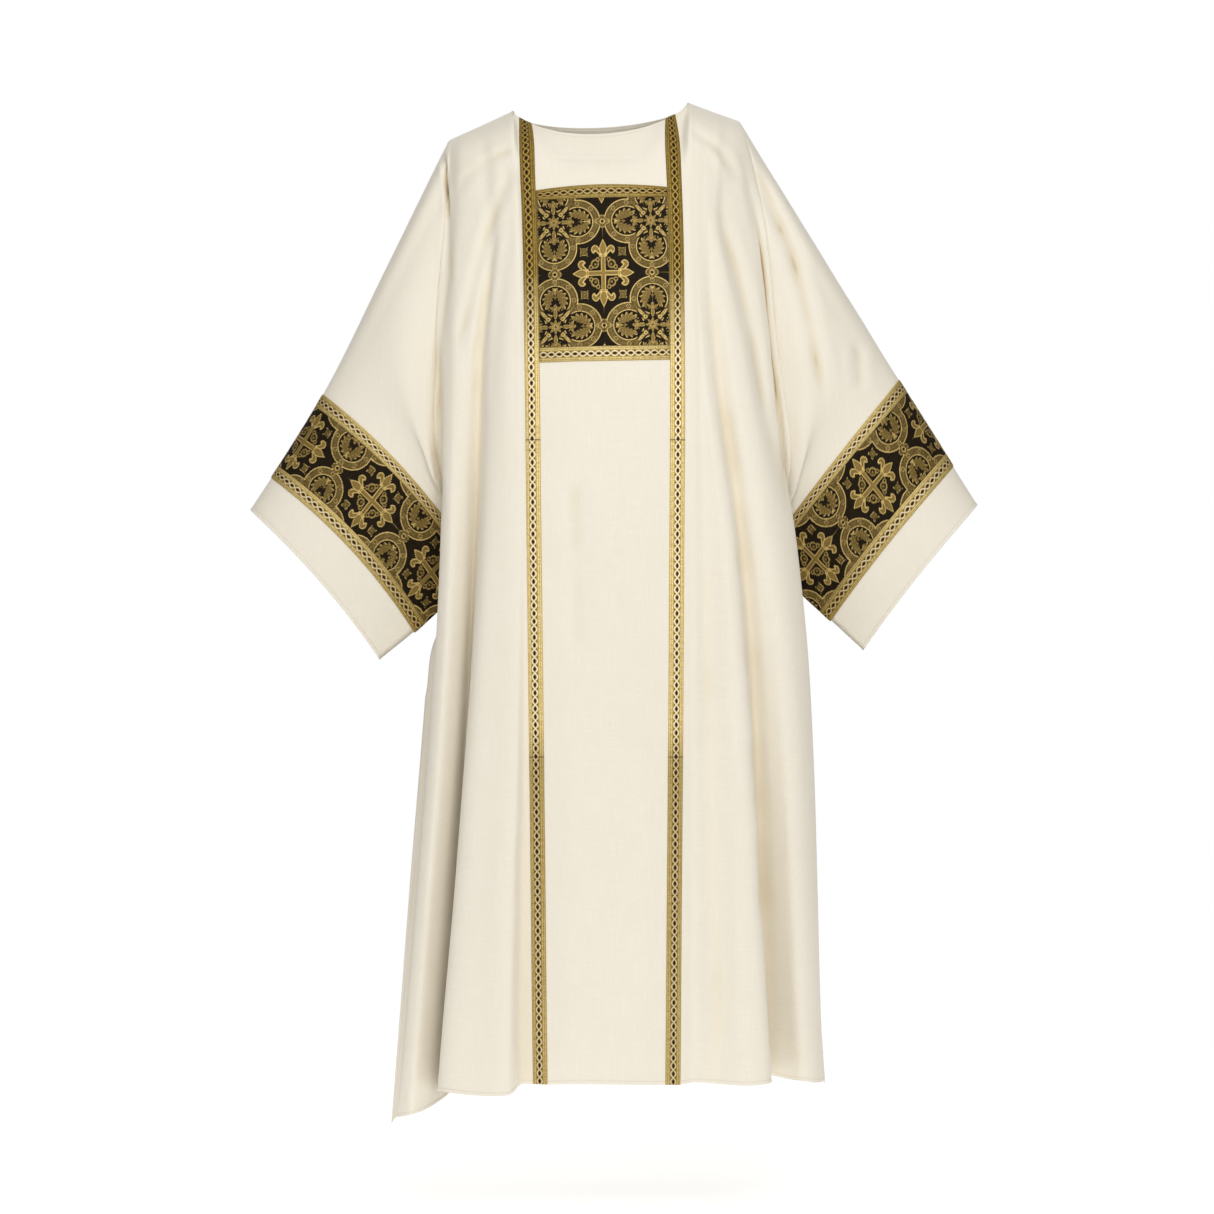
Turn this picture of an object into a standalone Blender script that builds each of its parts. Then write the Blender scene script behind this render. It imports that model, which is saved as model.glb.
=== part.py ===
"""Dalmatic: a wide-sleeved vestment, open at the sides, that hangs hollow as it is worn.

Metres, +Z up. The front faces -Y and the wearer's left is +X. The origin lies midway between the two
neck points, at the height of the shoulder seams, where the shoulders carry the cloth.

Each panel is a smooth surface stretched over its fold lines. A fold line is one row of a table: where it
leaves the top edge, then how far across and how far forward or back it lies at the yoke, the breast, the
underarm and the hem. The sleeves run from the armholes through a few flattened rings to the cuffs.
"""

from collections import namedtuple

import bpy
import numpy as np

# Cloth and trim
CLOTH = 0.0015
GALLOON_THICK = 0.0012
BROCADE_THICK = 0.0010
GAP = 0.0003
GALLOON_WIDTH = 0.020
BROCADE_BAND = 0.094

# Heights below the neck points
YOKE = 0.142
BREAST = 0.362
UNDERARM = 0.615
SLIT_TOP = 0.807
LENGTH = 1.327
ROLL = 0.030

# Neck opening, a round scoop cut lower in front than behind. depth: how far it reaches forward or back.
# squareness: how square it is seen from above, less being squarer. drop: how far it falls at its middle,
# which it does the more gently beside the neck points the greater NECK_EASE is.
NECK_CENTRE = -0.004
NECK_HALF_WIDTH = 0.122
NECK_TILT = 0.046
NECK_EASE = 1.2
Neck = namedtuple("Neck", "depth squareness drop")
NECK_FRONT = Neck(-0.085, 0.55, 0.050)
NECK_BACK = Neck(0.066, 0.60, 0.020)

# Chest apparel, between the clavi. Its foot hangs a little lower on the wearer's right.
CHEST_TOP = YOKE - GALLOON_WIDTH
CHEST_FOOT = BREAST
CHEST_TILT = 0.02

# Sleeve, measured down its outer edge from the shoulder
SLEEVE_TO_BAND = 0.391
SLEEVE_BAND = BROCADE_BAND + 2 * GALLOON_WIDTH
CUFF_MARGIN = 0.060
SLEEVE_LENGTH = SLEEVE_TO_BAND + SLEEVE_BAND + CUFF_MARGIN

# How finely the walls are divided
STEPS_BETWEEN_FOLDS = 2
ROWS_ABOVE_UNDERARM = (
    0, 0.015, ROLL, 0.060, 0.092, CHEST_TOP, YOKE, 0.205, 0.275, CHEST_FOOT - GALLOON_WIDTH,
    BREAST, 0.445, 0.515, 0.575, UNDERARM,
)  # fmt: skip
ROWS_BELOW_UNDERARM = (0.675, 0.730, SLIT_TOP, 0.905, 1.015, 1.125, 1.230, LENGTH)
SLEEVE_RINGS = (
    0, 0.055, 0.120, 0.190, 0.260, 0.325, SLEEVE_TO_BAND, SLEEVE_TO_BAND + GALLOON_WIDTH,
    SLEEVE_TO_BAND + SLEEVE_BAND / 2, SLEEVE_TO_BAND + SLEEVE_BAND - GALLOON_WIDTH,
    SLEEVE_TO_BAND + SLEEVE_BAND, SLEEVE_TO_BAND + SLEEVE_BAND + CUFF_MARGIN / 2, SLEEVE_LENGTH,
)  # fmt: skip

# top: how far across the fold leaves the top edge. yoke, breast, under, hem: (across, forward or back).
# dip: how much lower than LENGTH the hem hangs there.
Fold = namedtuple("Fold", "name top yoke breast under hem dip")

FRONT_FOLDS = (
    Fold("right return", -0.209, (-0.209, -0.058), (-0.223, -0.068), (-0.183, -0.052), (-0.282, -0.072), 0.056),
    Fold("right tube side", -0.204, (-0.206, -0.066), (-0.217, -0.078), (-0.221, -0.082), (-0.277, -0.078), 0.054),
    Fold("right tube crest", -0.195, (-0.194, -0.084), (-0.202, -0.100), (-0.206, -0.108), (-0.260, -0.092), 0.049),
    Fold("right tube shoulder", -0.182, (-0.172, -0.096), (-0.182, -0.103), (-0.187, -0.096), (-0.241, -0.068), 0.045),
    Fold("right deep valley", -0.170, (-0.155, -0.102), (-0.165, -0.096), (-0.175, -0.072), (-0.213, -0.014), 0.032),
    Fold("right valley lip", -0.158, (-0.142, -0.111), (-0.151, -0.120), (-0.161, -0.132), (-0.220, -0.128), 0.012),
    Fold("right side face", -0.143, (-0.128, -0.117), (-0.131, -0.137), (-0.136, -0.147), (-0.175, -0.152), 0.014),
    Fold("right neck point", -0.126, (-0.119, -0.121), (-0.116, -0.142), (-0.113, -0.153), (-0.126, -0.164), 0.012),
    Fold("right step", -0.122, (-0.114, -0.122), (-0.110, -0.143), (-0.106, -0.151), (-0.110, -0.133), 0.002),
    Fold("right clavus", -0.106, (-0.100, -0.126), (-0.095, -0.146), (-0.092, -0.152), (-0.084, -0.139), 0.001),
    Fold("right wave", -0.057, (-0.054, -0.131), (-0.052, -0.152), (-0.048, -0.159), (-0.036, -0.153), -0.001),
    Fold("centre", -0.005, (-0.001, -0.133), (0.001, -0.154), (0.003, -0.160), (0.007, -0.149), 0.000),
    Fold("left wave", 0.046, (0.051, -0.131), (0.052, -0.152), (0.048, -0.159), (0.047, -0.154), 0.000),
    Fold("left clavus", 0.094, (0.100, -0.126), (0.103, -0.146), (0.100, -0.152), (0.093, -0.145), 0.001),
    Fold("left neck point", 0.118, (0.117, -0.122), (0.122, -0.143), (0.121, -0.154), (0.121, -0.151), -0.003),
    Fold("left soft valley", 0.125, (0.122, -0.120), (0.129, -0.140), (0.137, -0.148), (0.154, -0.143), 0.000),
    Fold("left face crest", 0.131, (0.127, -0.118), (0.135, -0.139), (0.161, -0.155), (0.191, -0.161), 0.000),
    Fold("left valley lip", 0.138, (0.133, -0.115), (0.143, -0.134), (0.177, -0.149), (0.222, -0.151), -0.002),
    Fold("left deep valley", 0.145, (0.140, -0.112), (0.154, -0.124), (0.188, -0.124), (0.219, -0.050), -0.001),
    Fold("left tube side", 0.151, (0.146, -0.109), (0.170, -0.129), (0.204, -0.131), (0.249, -0.072), 0.003),
    Fold("left tube crest", 0.159, (0.153, -0.105), (0.188, -0.122), (0.222, -0.133), (0.270, -0.097), 0.003),
    Fold("left outer valley", 0.168, (0.162, -0.096), (0.208, -0.098), (0.244, -0.119), (0.287, -0.089), 0.006),
    Fold("left outer ridge", 0.178, (0.188, -0.080), (0.226, -0.085), (0.263, -0.084), (0.300, -0.066), 0.007),
    Fold("left return", 0.184, (0.205, -0.063), (0.233, -0.070), (0.226, -0.052), (0.301, -0.058), 0.007),
)

BACK_FOLDS = (
    Fold("right return", -0.209, (-0.215, 0.057), (-0.229, 0.068), (-0.187, 0.048), (-0.281, 0.046), 0.007),
    Fold("right side crest", -0.200, (-0.206, 0.074), (-0.218, 0.090), (-0.218, 0.086), (-0.274, 0.072), 0.007),
    Fold("right side valley", -0.185, (-0.187, 0.088), (-0.192, 0.084), (-0.197, 0.080), (-0.235, 0.046), 0.001),
    Fold("right lip", -0.169, (-0.168, 0.098), (-0.172, 0.110), (-0.177, 0.116), (-0.224, 0.122), -0.001),
    Fold("right soft valley", -0.148, (-0.145, 0.106), (-0.146, 0.119), (-0.144, 0.121), (-0.167, 0.128), -0.001),
    Fold("right neck point", -0.126, (-0.125, 0.110), (-0.124, 0.125), (-0.120, 0.132), (-0.126, 0.150), -0.001),
    Fold("right clavus", -0.108, (-0.106, 0.112), (-0.103, 0.128), (-0.100, 0.133), (-0.094, 0.143), -0.002),
    Fold("right wave", -0.058, (-0.056, 0.114), (-0.055, 0.131), (-0.053, 0.130), (-0.049, 0.131), -0.002),
    Fold("centre", -0.004, (0.000, 0.114), (0.001, 0.133), (0.002, 0.138), (0.004, 0.148), -0.002),
    Fold("left wave", 0.048, (0.055, 0.114), (0.055, 0.131), (0.053, 0.132), (0.053, 0.134), -0.002),
    Fold("left clavus", 0.095, (0.105, 0.111), (0.108, 0.128), (0.106, 0.133), (0.099, 0.144), -0.002),
    Fold("left neck point", 0.118, (0.124, 0.109), (0.129, 0.124), (0.129, 0.131), (0.132, 0.149), -0.001),
    Fold("left soft valley", 0.135, (0.141, 0.105), (0.150, 0.117), (0.156, 0.119), (0.169, 0.126), -0.001),
    Fold("left lip", 0.149, (0.159, 0.098), (0.173, 0.112), (0.188, 0.122), (0.218, 0.135), -0.003),
    Fold("left side valley", 0.162, (0.178, 0.088), (0.197, 0.088), (0.214, 0.090), (0.231, 0.056), -0.005),
    Fold("left side crest", 0.176, (0.200, 0.072), (0.227, 0.088), (0.251, 0.086), (0.280, 0.082), -0.003),
    Fold("left return", 0.184, (0.210, 0.058), (0.239, 0.068), (0.229, 0.048), (0.295, 0.052), -0.003),
)

# The sides of the panels: armhole, then side seam from the underarm to the top of the slit, then slit.
# front and back: how far forward and back the two panels' edges lie; they meet wherever both agree.
# lift: how much higher the back one hangs.
Edge = namedtuple("Edge", "level across front back height lift", defaults=[0])

RIGHT_EDGE = (
    Edge(0, -0.212, 0.000, 0.000, -0.046),
    Edge(ROLL, -0.213, -0.028, 0.027, -0.060),
    Edge(YOKE, -0.214, -0.051, 0.049, -0.129),
    Edge(BREAST, -0.229, -0.060, 0.058, -0.351),
    Edge(0.515, -0.220, -0.055, 0.052, -0.512),
    Edge(0.575, -0.196, -0.036, 0.034, -0.573),
    Edge(UNDERARM, -0.151, 0.003, 0.003, -0.619),
    Edge(0.675, -0.202, 0.004, 0.004, -0.682),
    Edge(0.730, -0.233, 0.003, 0.003, -0.734),
    Edge(SLIT_TOP, -0.245, 0.000, 0.000, -0.807),
    Edge(LENGTH, -0.288, -0.066, 0.036, -1.391, 0.046),
)

LEFT_EDGE = (
    Edge(0, 0.187, 0.000, 0.000, -0.020),
    Edge(ROLL, 0.193, -0.028, 0.027, -0.041),
    Edge(YOKE, 0.214, -0.051, 0.049, -0.129),
    Edge(BREAST, 0.239, -0.062, 0.058, -0.351),
    Edge(0.515, 0.253, -0.058, 0.053, -0.512),
    Edge(0.575, 0.237, -0.038, 0.035, -0.569),
    Edge(UNDERARM, 0.193, 0.003, 0.003, -0.608),
    Edge(0.675, 0.237, 0.004, 0.004, -0.676),
    Edge(0.730, 0.261, 0.003, 0.003, -0.734),
    Edge(SLIT_TOP, 0.271, 0.000, 0.000, -0.807),
    Edge(LENGTH, 0.302, -0.052, 0.040, -1.341, 0.014),
)

# Flattened rings of the sleeves. out and under: (across, height) of the edge over the arm and of the
# lower edge. front, back: how far the cloth stands off between them. bow: how far the line of the ring
# curves up towards the shoulder.
Ring = namedtuple("Ring", "name along out under front back bow")

RIGHT_RINGS = (
    Ring("band top", SLEEVE_TO_BAND, (-0.386, -0.397), (-0.171, -0.639), 0.057, 0.052, 0.016),
    Ring("band foot", SLEEVE_TO_BAND + SLEEVE_BAND, (-0.457, -0.512), (-0.261, -0.725), 0.050, 0.046, 0.015),
    Ring("cuff", SLEEVE_LENGTH, (-0.486, -0.556), (-0.308, -0.763), 0.046, 0.043, 0.010),
)

LEFT_RINGS = (
    Ring("band top", SLEEVE_TO_BAND, (0.407, -0.377), (0.218, -0.622), 0.057, 0.052, 0.004),
    Ring("band foot", SLEEVE_TO_BAND + SLEEVE_BAND, (0.482, -0.496), (0.314, -0.709), 0.050, 0.046, 0.006),
    Ring("cuff", SLEEVE_LENGTH, (0.515, -0.549), (0.358, -0.750), 0.046, 0.043, 0.006),
)

SLEEVE_FULLNESS = 0.016
TEARDROP = 2.6
TEARDROP_SPACING = 1.4
STEP = 1e-4

# Colour, roughness and metallic value of each finish
CREAM_WOOL = ("cream wool", (0.84, 0.78, 0.64, 1), 0.85, 0.0)
GOLD_GALLOON = ("gold galloon", (0.52, 0.40, 0.14, 1), 0.45, 0.5)
BLACK_GOLD_BROCADE = ("black and gold brocade", (0.20, 0.14, 0.05, 1), 0.55, 0.3)


def curve_through(knots, points, at):
    """A smooth cubic curve through points[i] at knots[i], read at the values of at.

    The slope at a knot is the mean of the slopes on its two sides, each weighted by the other's length.
    """
    knots = np.asarray(knots, float)
    points = np.asarray(points, float)
    at = np.atleast_1d(np.asarray(at, float))
    shape = (-1,) + (1,) * (points.ndim - 1)
    length = np.diff(knots).reshape(shape)
    rise = np.diff(points, axis=0) / length
    slope = np.concatenate([rise[:1], rise])
    slope[1:-1] = (length[1:] * rise[:-1] + length[:-1] * rise[1:]) / (length[1:] + length[:-1])
    i = np.clip(np.searchsorted(knots, at, side="right") - 1, 0, len(knots) - 2)
    t = ((at - knots[i]) / np.diff(knots)[i]).reshape(shape)
    span = length[i]
    return (
        (2 * t**3 - 3 * t**2 + 1) * points[i]
        + (t**3 - 2 * t**2 + t) * span * slope[i]
        + (3 * t**2 - 2 * t**3) * points[i + 1]
        + (t**3 - t**2) * span * slope[i + 1]
    )


def across_folds(lines, at):
    """The same kind of curve across the fold lines: lines is rows by folds by 3, and at counts folds.

    Its spacing is the square root of the distance between folds, which keeps sharp lips free of loops.
    """
    at = np.asarray(at, float)
    space = np.sqrt(np.linalg.norm(np.diff(lines, axis=1), axis=2, keepdims=True))
    rise = np.diff(lines, axis=1) / space
    slope = np.concatenate([rise[:, :1], rise], axis=1)
    slope[:, 1:-1] = (space[:, 1:] * rise[:, :-1] + space[:, :-1] * rise[:, 1:]) / (
        space[:, 1:] + space[:, :-1]
    )
    i = np.clip(np.floor(at).astype(int), 0, lines.shape[1] - 2)
    t = (at - i)[None, :, None]
    return (
        (2 * t**3 - 3 * t**2 + 1) * lines[:, i]
        + (t**3 - 2 * t**2 + t) * space[:, i] * slope[:, i]
        + (3 * t**2 - 2 * t**3) * lines[:, i + 1]
        + (t**3 - t**2) * space[:, i] * slope[:, i + 1]
    )


def round_neck(across):
    """How far round the neck a point of the top edge is: 1 at the middle, 0 at the neck points."""
    turn = np.clip((np.asarray(across, float) - NECK_CENTRE) / NECK_HALF_WIDTH, -1, 1)
    return np.sqrt(1 - turn**2)


def top_edge(across, cut):
    """Points of the top edge: the neckline, and the straight shoulder seam to each side of it."""
    across = np.asarray(across, float)
    round_it = round_neck(across)
    height = NECK_TILT * (across - NECK_CENTRE) - cut.drop * round_it**NECK_EASE
    for side, shoulder in ((-1, RIGHT_EDGE[0]), (1, LEFT_EDGE[0])):
        neck = NECK_CENTRE + side * NECK_HALF_WIDTH
        slope = (shoulder.height - NECK_TILT * side * NECK_HALF_WIDTH) / (shoulder.across - neck)
        beyond = (across - neck) * side > 0
        seam = NECK_TILT * side * NECK_HALF_WIDTH + slope * (across - neck)
        height = np.where(beyond, seam, height)
    return np.stack([across, cut.depth * round_it**cut.squareness, height], axis=-1)


def fold_line(fold, cut):
    """The points of one fold line at the levels in LEVELS.

    Between the top edge and the yoke it rolls over the shoulder, or curves down from the neckline.
    """
    top = top_edge(fold.top, cut)
    round_it = round_neck(fold.top)
    yoke = np.array([*fold.yoke, -YOKE])
    share = np.array([0.30, 0.55 - 0.25 * round_it, 0.16 + 0.08 * round_it])
    roll = top + share * (yoke - top)
    rise = (YOKE - CHEST_TOP) / (YOKE + roll[2])
    above_yoke = yoke + rise * np.array([1, 0.4, 1]) * (roll - yoke)
    tilt = CHEST_TILT * fold.breast[0]
    return [
        top,
        roll,
        above_yoke,
        yoke,
        [*fold.breast, -BREAST + tilt],
        [*fold.under, -UNDERARM],
        [*fold.hem, -LENGTH - fold.dip],
    ]


LEVELS = (0, ROLL, CHEST_TOP, YOKE, BREAST, UNDERARM, LENGTH)


def edge_line(edges, side, at):
    """One side edge of the front or back panel, read at the levels in at.

    The armhole, the side seam and the slit are separate curves, which meet at corners.
    """
    at = np.atleast_1d(np.asarray(at, float))
    lifted = side == "back"
    points = np.array([[e.across, getattr(e, side), e.height + lifted * e.lift] for e in edges])
    levels = np.array([e.level for e in edges])
    armhole = levels <= UNDERARM
    seam = (levels >= UNDERARM) & (levels <= SLIT_TOP)
    slit = levels >= SLIT_TOP
    line = curve_through(levels[armhole], points[armhole], at)
    line[at > UNDERARM] = curve_through(levels[seam], points[seam], at[at > UNDERARM])
    line[at > SLIT_TOP] = curve_through(levels[slit], points[slit], at[at > SLIT_TOP])
    return line


class Panel:
    """The front or the back: a surface over its fold lines, from the right side edge to the left one."""

    def __init__(self, folds, side, cut):
        self.side = side
        self.outward = -1 if side == "front" else 1
        names = []
        lines = []
        raw = np.array([fold_line(fold, cut) for fold in folds])
        for i, fold in enumerate(folds):
            if "clavus" not in fold.name:
                names.append(fold.name)
                lines.append(raw[i])
                continue
            along = raw[i + 1] - raw[i - 1]
            along[:, 2] = 0
            along /= np.linalg.norm(along, axis=1, keepdims=True)
            for edge, way in (("right", -1), ("left", 1)):
                line = raw[i] + way * GALLOON_WIDTH / 2 * along
                line[0] = top_edge(line[0, 0], cut)
                names.append(f"{fold.name} {edge} edge")
                lines.append(line)
        self.folds = np.array(lines).transpose(1, 0, 2)
        self.names = names
        self.cut = cut

    def column(self, name):
        """The place of a fold line, counted from the right side edge."""
        return self.names.index(name) + 1

    def smooth_points(self, columns, levels):
        """Points of the surface before its top edge is trued, levels by columns by 3."""
        lines = curve_through(LEVELS, self.folds, levels)
        right = edge_line(RIGHT_EDGE, self.side, levels)[:, None]
        left = edge_line(LEFT_EDGE, self.side, levels)[:, None]
        return across_folds(np.concatenate([right, lines, left], axis=1), columns)

    def points(self, columns, levels):
        """Points of the surface, levels by columns by 3.

        Above the roll of the shoulder they ease onto the exact neckline and shoulder seams.
        """
        points = self.smooth_points(columns, levels)
        top = self.smooth_points(columns, [0])[0]
        ease = np.clip(1 - np.asarray(levels, float) / ROLL, 0, 1)[:, None, None] ** 2
        return points + ease * (top_edge(top[:, 0], self.cut) - top)

    def normals(self, columns, levels):
        """Outward normals, from the surface a small step to each side."""
        columns = np.asarray(columns, float)
        levels = np.asarray(levels, float)
        last = len(self.names) + 1
        over = self.points(np.minimum(columns + STEP, last), levels)
        over -= self.points(np.maximum(columns - STEP, 0), levels)
        down = self.points(columns, np.minimum(levels + STEP, LENGTH))
        down -= self.points(columns, np.maximum(levels - STEP, 0))
        return unit(np.cross(over, down) * self.outward)


class Sleeve:
    """A sleeve, from the armhole through its rings to the cuff.

    round_it runs 0 to 1 down the front of the armhole and 1 to 2 up its back.
    """

    def __init__(self, edges, rings):
        self.edges = edges
        self.rings = rings
        self.along = [0, SLEEVE_TO_BAND / 2] + [ring.along for ring in rings]
        fine = np.linspace(0, UNDERARM, 400)
        self.shares = {}
        for side in ("front", "back"):
            steps = np.linalg.norm(np.diff(edge_line(edges, side, fine), axis=0), axis=1)
            length = np.concatenate([[0], np.cumsum(steps)])
            self.shares[side] = (fine, length / length[-1])

    def round_from_levels(self, levels):
        """Where the armhole's levels come on the front half of a ring and, mirrored, on the back half."""
        front = np.interp(levels, *self.shares["front"])
        back = 2 - np.interp(levels[-2:0:-1], *self.shares["back"])
        return np.concatenate([front, back])

    def armhole(self, round_it):
        """Points of the armhole seam."""
        down = np.where(round_it <= 1, round_it, 2 - round_it)
        fine, share = self.shares["front"]
        front = edge_line(self.edges, "front", np.interp(down, share, fine))
        fine, share = self.shares["back"]
        back = edge_line(self.edges, "back", np.interp(down, share, fine))
        return np.where((round_it <= 1)[:, None], front, back)

    def ring_points(self, ring, round_it):
        """One flattened ring: a teardrop, round over the arm and narrowing to the lower edge."""
        down = np.where(round_it <= 1, round_it, 2 - round_it) ** TEARDROP_SPACING
        out = np.array([ring.out[0], 0, ring.out[1]])
        under = np.array([ring.under[0], 0, ring.under[1]])
        chord = under - out
        up = unit(np.array([chord[2], 0, -chord[0]]))
        up *= np.sign(up[2])
        stand = TEARDROP * np.sqrt(down) * (1 - down)
        stand = np.where(round_it <= 1, -ring.front, ring.back) * stand
        bow = 4 * down * (1 - down) * ring.bow
        return out + down[:, None] * chord + bow[:, None] * up + stand[:, None] * np.array([0, 1, 0])

    def points(self, round_it, along):
        """Points of the sleeve, along by round by 3."""
        round_it = np.mod(np.asarray(round_it, float), 2)
        first = self.armhole(round_it)
        rings = [self.ring_points(ring, round_it) for ring in self.rings]
        middle = (first + rings[0]) / 2
        down = np.where(round_it <= 1, round_it, 2 - round_it)
        way = np.where(round_it <= 1, -1, 1)
        middle[:, 1] += way * SLEEVE_FULLNESS * np.sin(np.pi * down)
        return curve_through(self.along, [first, middle, *rings], along)

    def normals(self, round_it, along):
        """Outward normals, from the surface a small step to each side."""
        along = np.asarray(along, float)
        over = self.points(round_it + STEP, along) - self.points(round_it - STEP, along)
        down = self.points(round_it, np.minimum(along + STEP, SLEEVE_LENGTH))
        down -= self.points(round_it, np.maximum(along - STEP, 0))
        facing = np.sign(self.edges[0].across)
        return unit(np.cross(over, down) * facing)


def unit(vectors):
    """The vectors at length 1."""
    return vectors / np.linalg.norm(vectors, axis=-1, keepdims=True)


def between(first, last):
    """Columns from one fold line to another, with the same steps as the panel's."""
    return np.linspace(first, last, (last - first) * STEPS_BETWEEN_FOLDS + 1)


def drawn_in(values, by):
    """The values with the first and the last moved inwards."""
    values = np.array(values, float)
    values[0] += by
    values[-1] -= by
    return values


def finish(name, colour, roughness, metallic):
    """A material of that name, made once."""
    material = bpy.data.materials.get(name)
    if material:
        return material
    material = bpy.data.materials.new(name)
    material.use_nodes = True
    shader = material.node_tree.nodes["Principled BSDF"]
    shader.inputs["Base Color"].default_value = colour
    shader.inputs["Roughness"].default_value = roughness
    shader.inputs["Metallic"].default_value = metallic
    return material


def two_triangles(a, b, c, d):
    """Two triangles for each four corners, which meet along the line from a to c."""
    return np.concatenate([np.stack([a, b, c], axis=-1), np.stack([a, c, d], axis=-1)]).reshape(-1, 3)


def wall(name, outer, inner, material, ring=False):
    """A closed wall between two grids of points. A ring joins its last column to its first.

    Each step of a rim is divided from its higher outer corner, as on the piece across the seam.
    """
    rows, columns = outer.shape[:2]
    count = rows * columns
    number = np.arange(count).reshape(rows, columns)
    if ring:
        number = np.concatenate([number, number[:, :1]], axis=1)
    points = np.concatenate([outer.reshape(-1, 3), inner.reshape(-1, 3)])
    a, b, c, d = number[:-1, :-1], number[:-1, 1:], number[1:, 1:], number[1:, :-1]
    faces = [two_triangles(a, b, c, d), two_triangles(a, d, c, b) + count]
    rims = [number[0], number[-1, ::-1]]
    if not ring:
        rims += [number[:, -1], number[::-1, 0]]
    for rim in rims:
        p, q = rim[:-1], rim[1:]
        falling = points[p, 2] > points[q, 2]
        faces.append(two_triangles(p, p + count, q + count, q)[np.tile(falling, 2)])
        faces.append(two_triangles(q, p, p + count, q + count)[np.tile(~falling, 2)])
    faces = np.concatenate(faces)
    corners = points[faces]
    volume = np.sum(corners[:, 0] * np.cross(corners[:, 1], corners[:, 2]))
    if volume < 0:
        faces = faces[:, ::-1]
    mesh = bpy.data.meshes.new(name)
    mesh.from_pydata(points.tolist(), [], faces.tolist())
    mesh.shade_smooth()
    mesh.materials.append(finish(*material))
    node = bpy.data.objects.new(name, mesh)
    bpy.context.scene.collection.objects.link(node)
    return node


def parted(points, normals, along, inside):
    """Seam points moved half the gap into their own piece, square to the seam and in the cloth's plane.

    along is the seam's direction at each point, and inside a vector that points into the piece.
    """
    aside = unit(np.cross(unit(along), normals))
    aside *= np.sign(np.sum(aside * inside, axis=-1, keepdims=True))
    return points + aside * GAP / 2


def trim(name, surface, first, second, thick, material, ring=False):
    """A strip of trim on a surface: its points, moved out by the gap and by its own thickness."""
    points = surface.points(first, second)
    normals = surface.normals(first, second)
    return wall(name, points + normals * (GAP + thick), points + normals * GAP, material, ring)


def shoulder_columns(top_row):
    """The columns of each shoulder seam, neck point and shoulder included, with the side they are on."""
    beyond = np.abs(top_row[:, 0] - NECK_CENTRE) > NECK_HALF_WIDTH - STEP
    return [(side, np.flatnonzero(beyond & (top_row[:, 0] * side > 0))) for side in (-1, 1)]


def make_body(front, back, sleeves):
    """The two panels and the two sleeves, with shared normals and a gap at each seam."""
    levels = np.array(ROWS_ABOVE_UNDERARM + ROWS_BELOW_UNDERARM)
    armhole_rows = len(ROWS_ABOVE_UNDERARM)
    seam_rows = int(np.searchsorted(levels, SLIT_TOP)) + 1
    panels = {}
    for panel in (front, back):
        columns = between(0, len(panel.names) + 1)
        panels[panel.side] = (panel.points(columns, levels), panel.normals(columns, levels))
        points, normals = panels[panel.side]
        for side, shoulder in shoulder_columns(points[0]):
            run = points[0, shoulder[-1]] - points[0, shoulder[0]]
            upright = unit(np.cross(run, [0, side, 0]))
            normals[0, shoulder] = upright * np.sign(upright[2])

    for sleeve, column in zip(sleeves, (0, -1)):
        round_it = sleeve.round_from_levels(levels[:armhole_rows])
        rings = np.array(SLEEVE_RINGS)
        points = sleeve.points(round_it, rings)
        normals = sleeve.normals(round_it, rings)
        for side, seam in (
            ("front", np.arange(armhole_rows)),
            ("back", -np.arange(armhole_rows) % len(round_it)),
        ):
            mine = panels[side][1]
            shared = unit(mine[:armhole_rows, column] + normals[0, seam])
            mine[:armhole_rows, column] = shared
            normals[0, seam] = shared
        fore, aft = panels["front"][1], panels["back"][1]
        for row in (0, armhole_rows - 1):
            shared = unit(fore[row, column] + aft[row, column])
            fore[row, column] = aft[row, column] = shared
            normals[0, 0 if row == 0 else armhole_rows - 1] = shared
        below = slice(armhole_rows - 1, seam_rows)
        shared = unit(fore[below, column] + aft[below, column])
        fore[below, column] = aft[below, column] = shared

        inner = points - normals * CLOTH
        run = np.roll(points[0], -1, axis=0) - np.roll(points[0], 1, axis=0)
        for grid in (points, inner):
            grid[0] = parted(grid[0], normals[0], run, points[1] - points[0])
        wall(sleeve.name, points, inner, CREAM_WOOL, ring=True)

    for panel in (front, back):
        points, normals = panels[panel.side]
        inner = points - normals * CLOTH
        for column, neighbour in ((0, 1), (-1, -2)):
            seam = points[:seam_rows, column]
            run = np.gradient(seam, axis=0)
            inside = points[:seam_rows, neighbour] - seam
            for grid in (points, inner):
                grid[:seam_rows, column] = parted(
                    grid[:seam_rows, column], normals[:seam_rows, column], run, inside
                )
        for _, shoulder in shoulder_columns(points[0]):
            for grid in (points, inner):
                grid[0, shoulder, 1] += panel.outward * GAP / 2
        wall(f"{panel.side}_panel", points, inner, CREAM_WOOL)


def make_clavi(panel):
    """The two upright galloons of a panel, from the neckline to the hem."""
    levels = drawn_in(ROWS_ABOVE_UNDERARM + ROWS_BELOW_UNDERARM, 0)
    for side in ("right", "left"):
        first = panel.column(f"{side} clavus right edge")
        columns = drawn_in(between(first, first + 1), 0)
        trim(f"clavus_{panel.side}_{side}", panel, columns, levels, GALLOON_THICK, GOLD_GALLOON)


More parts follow.
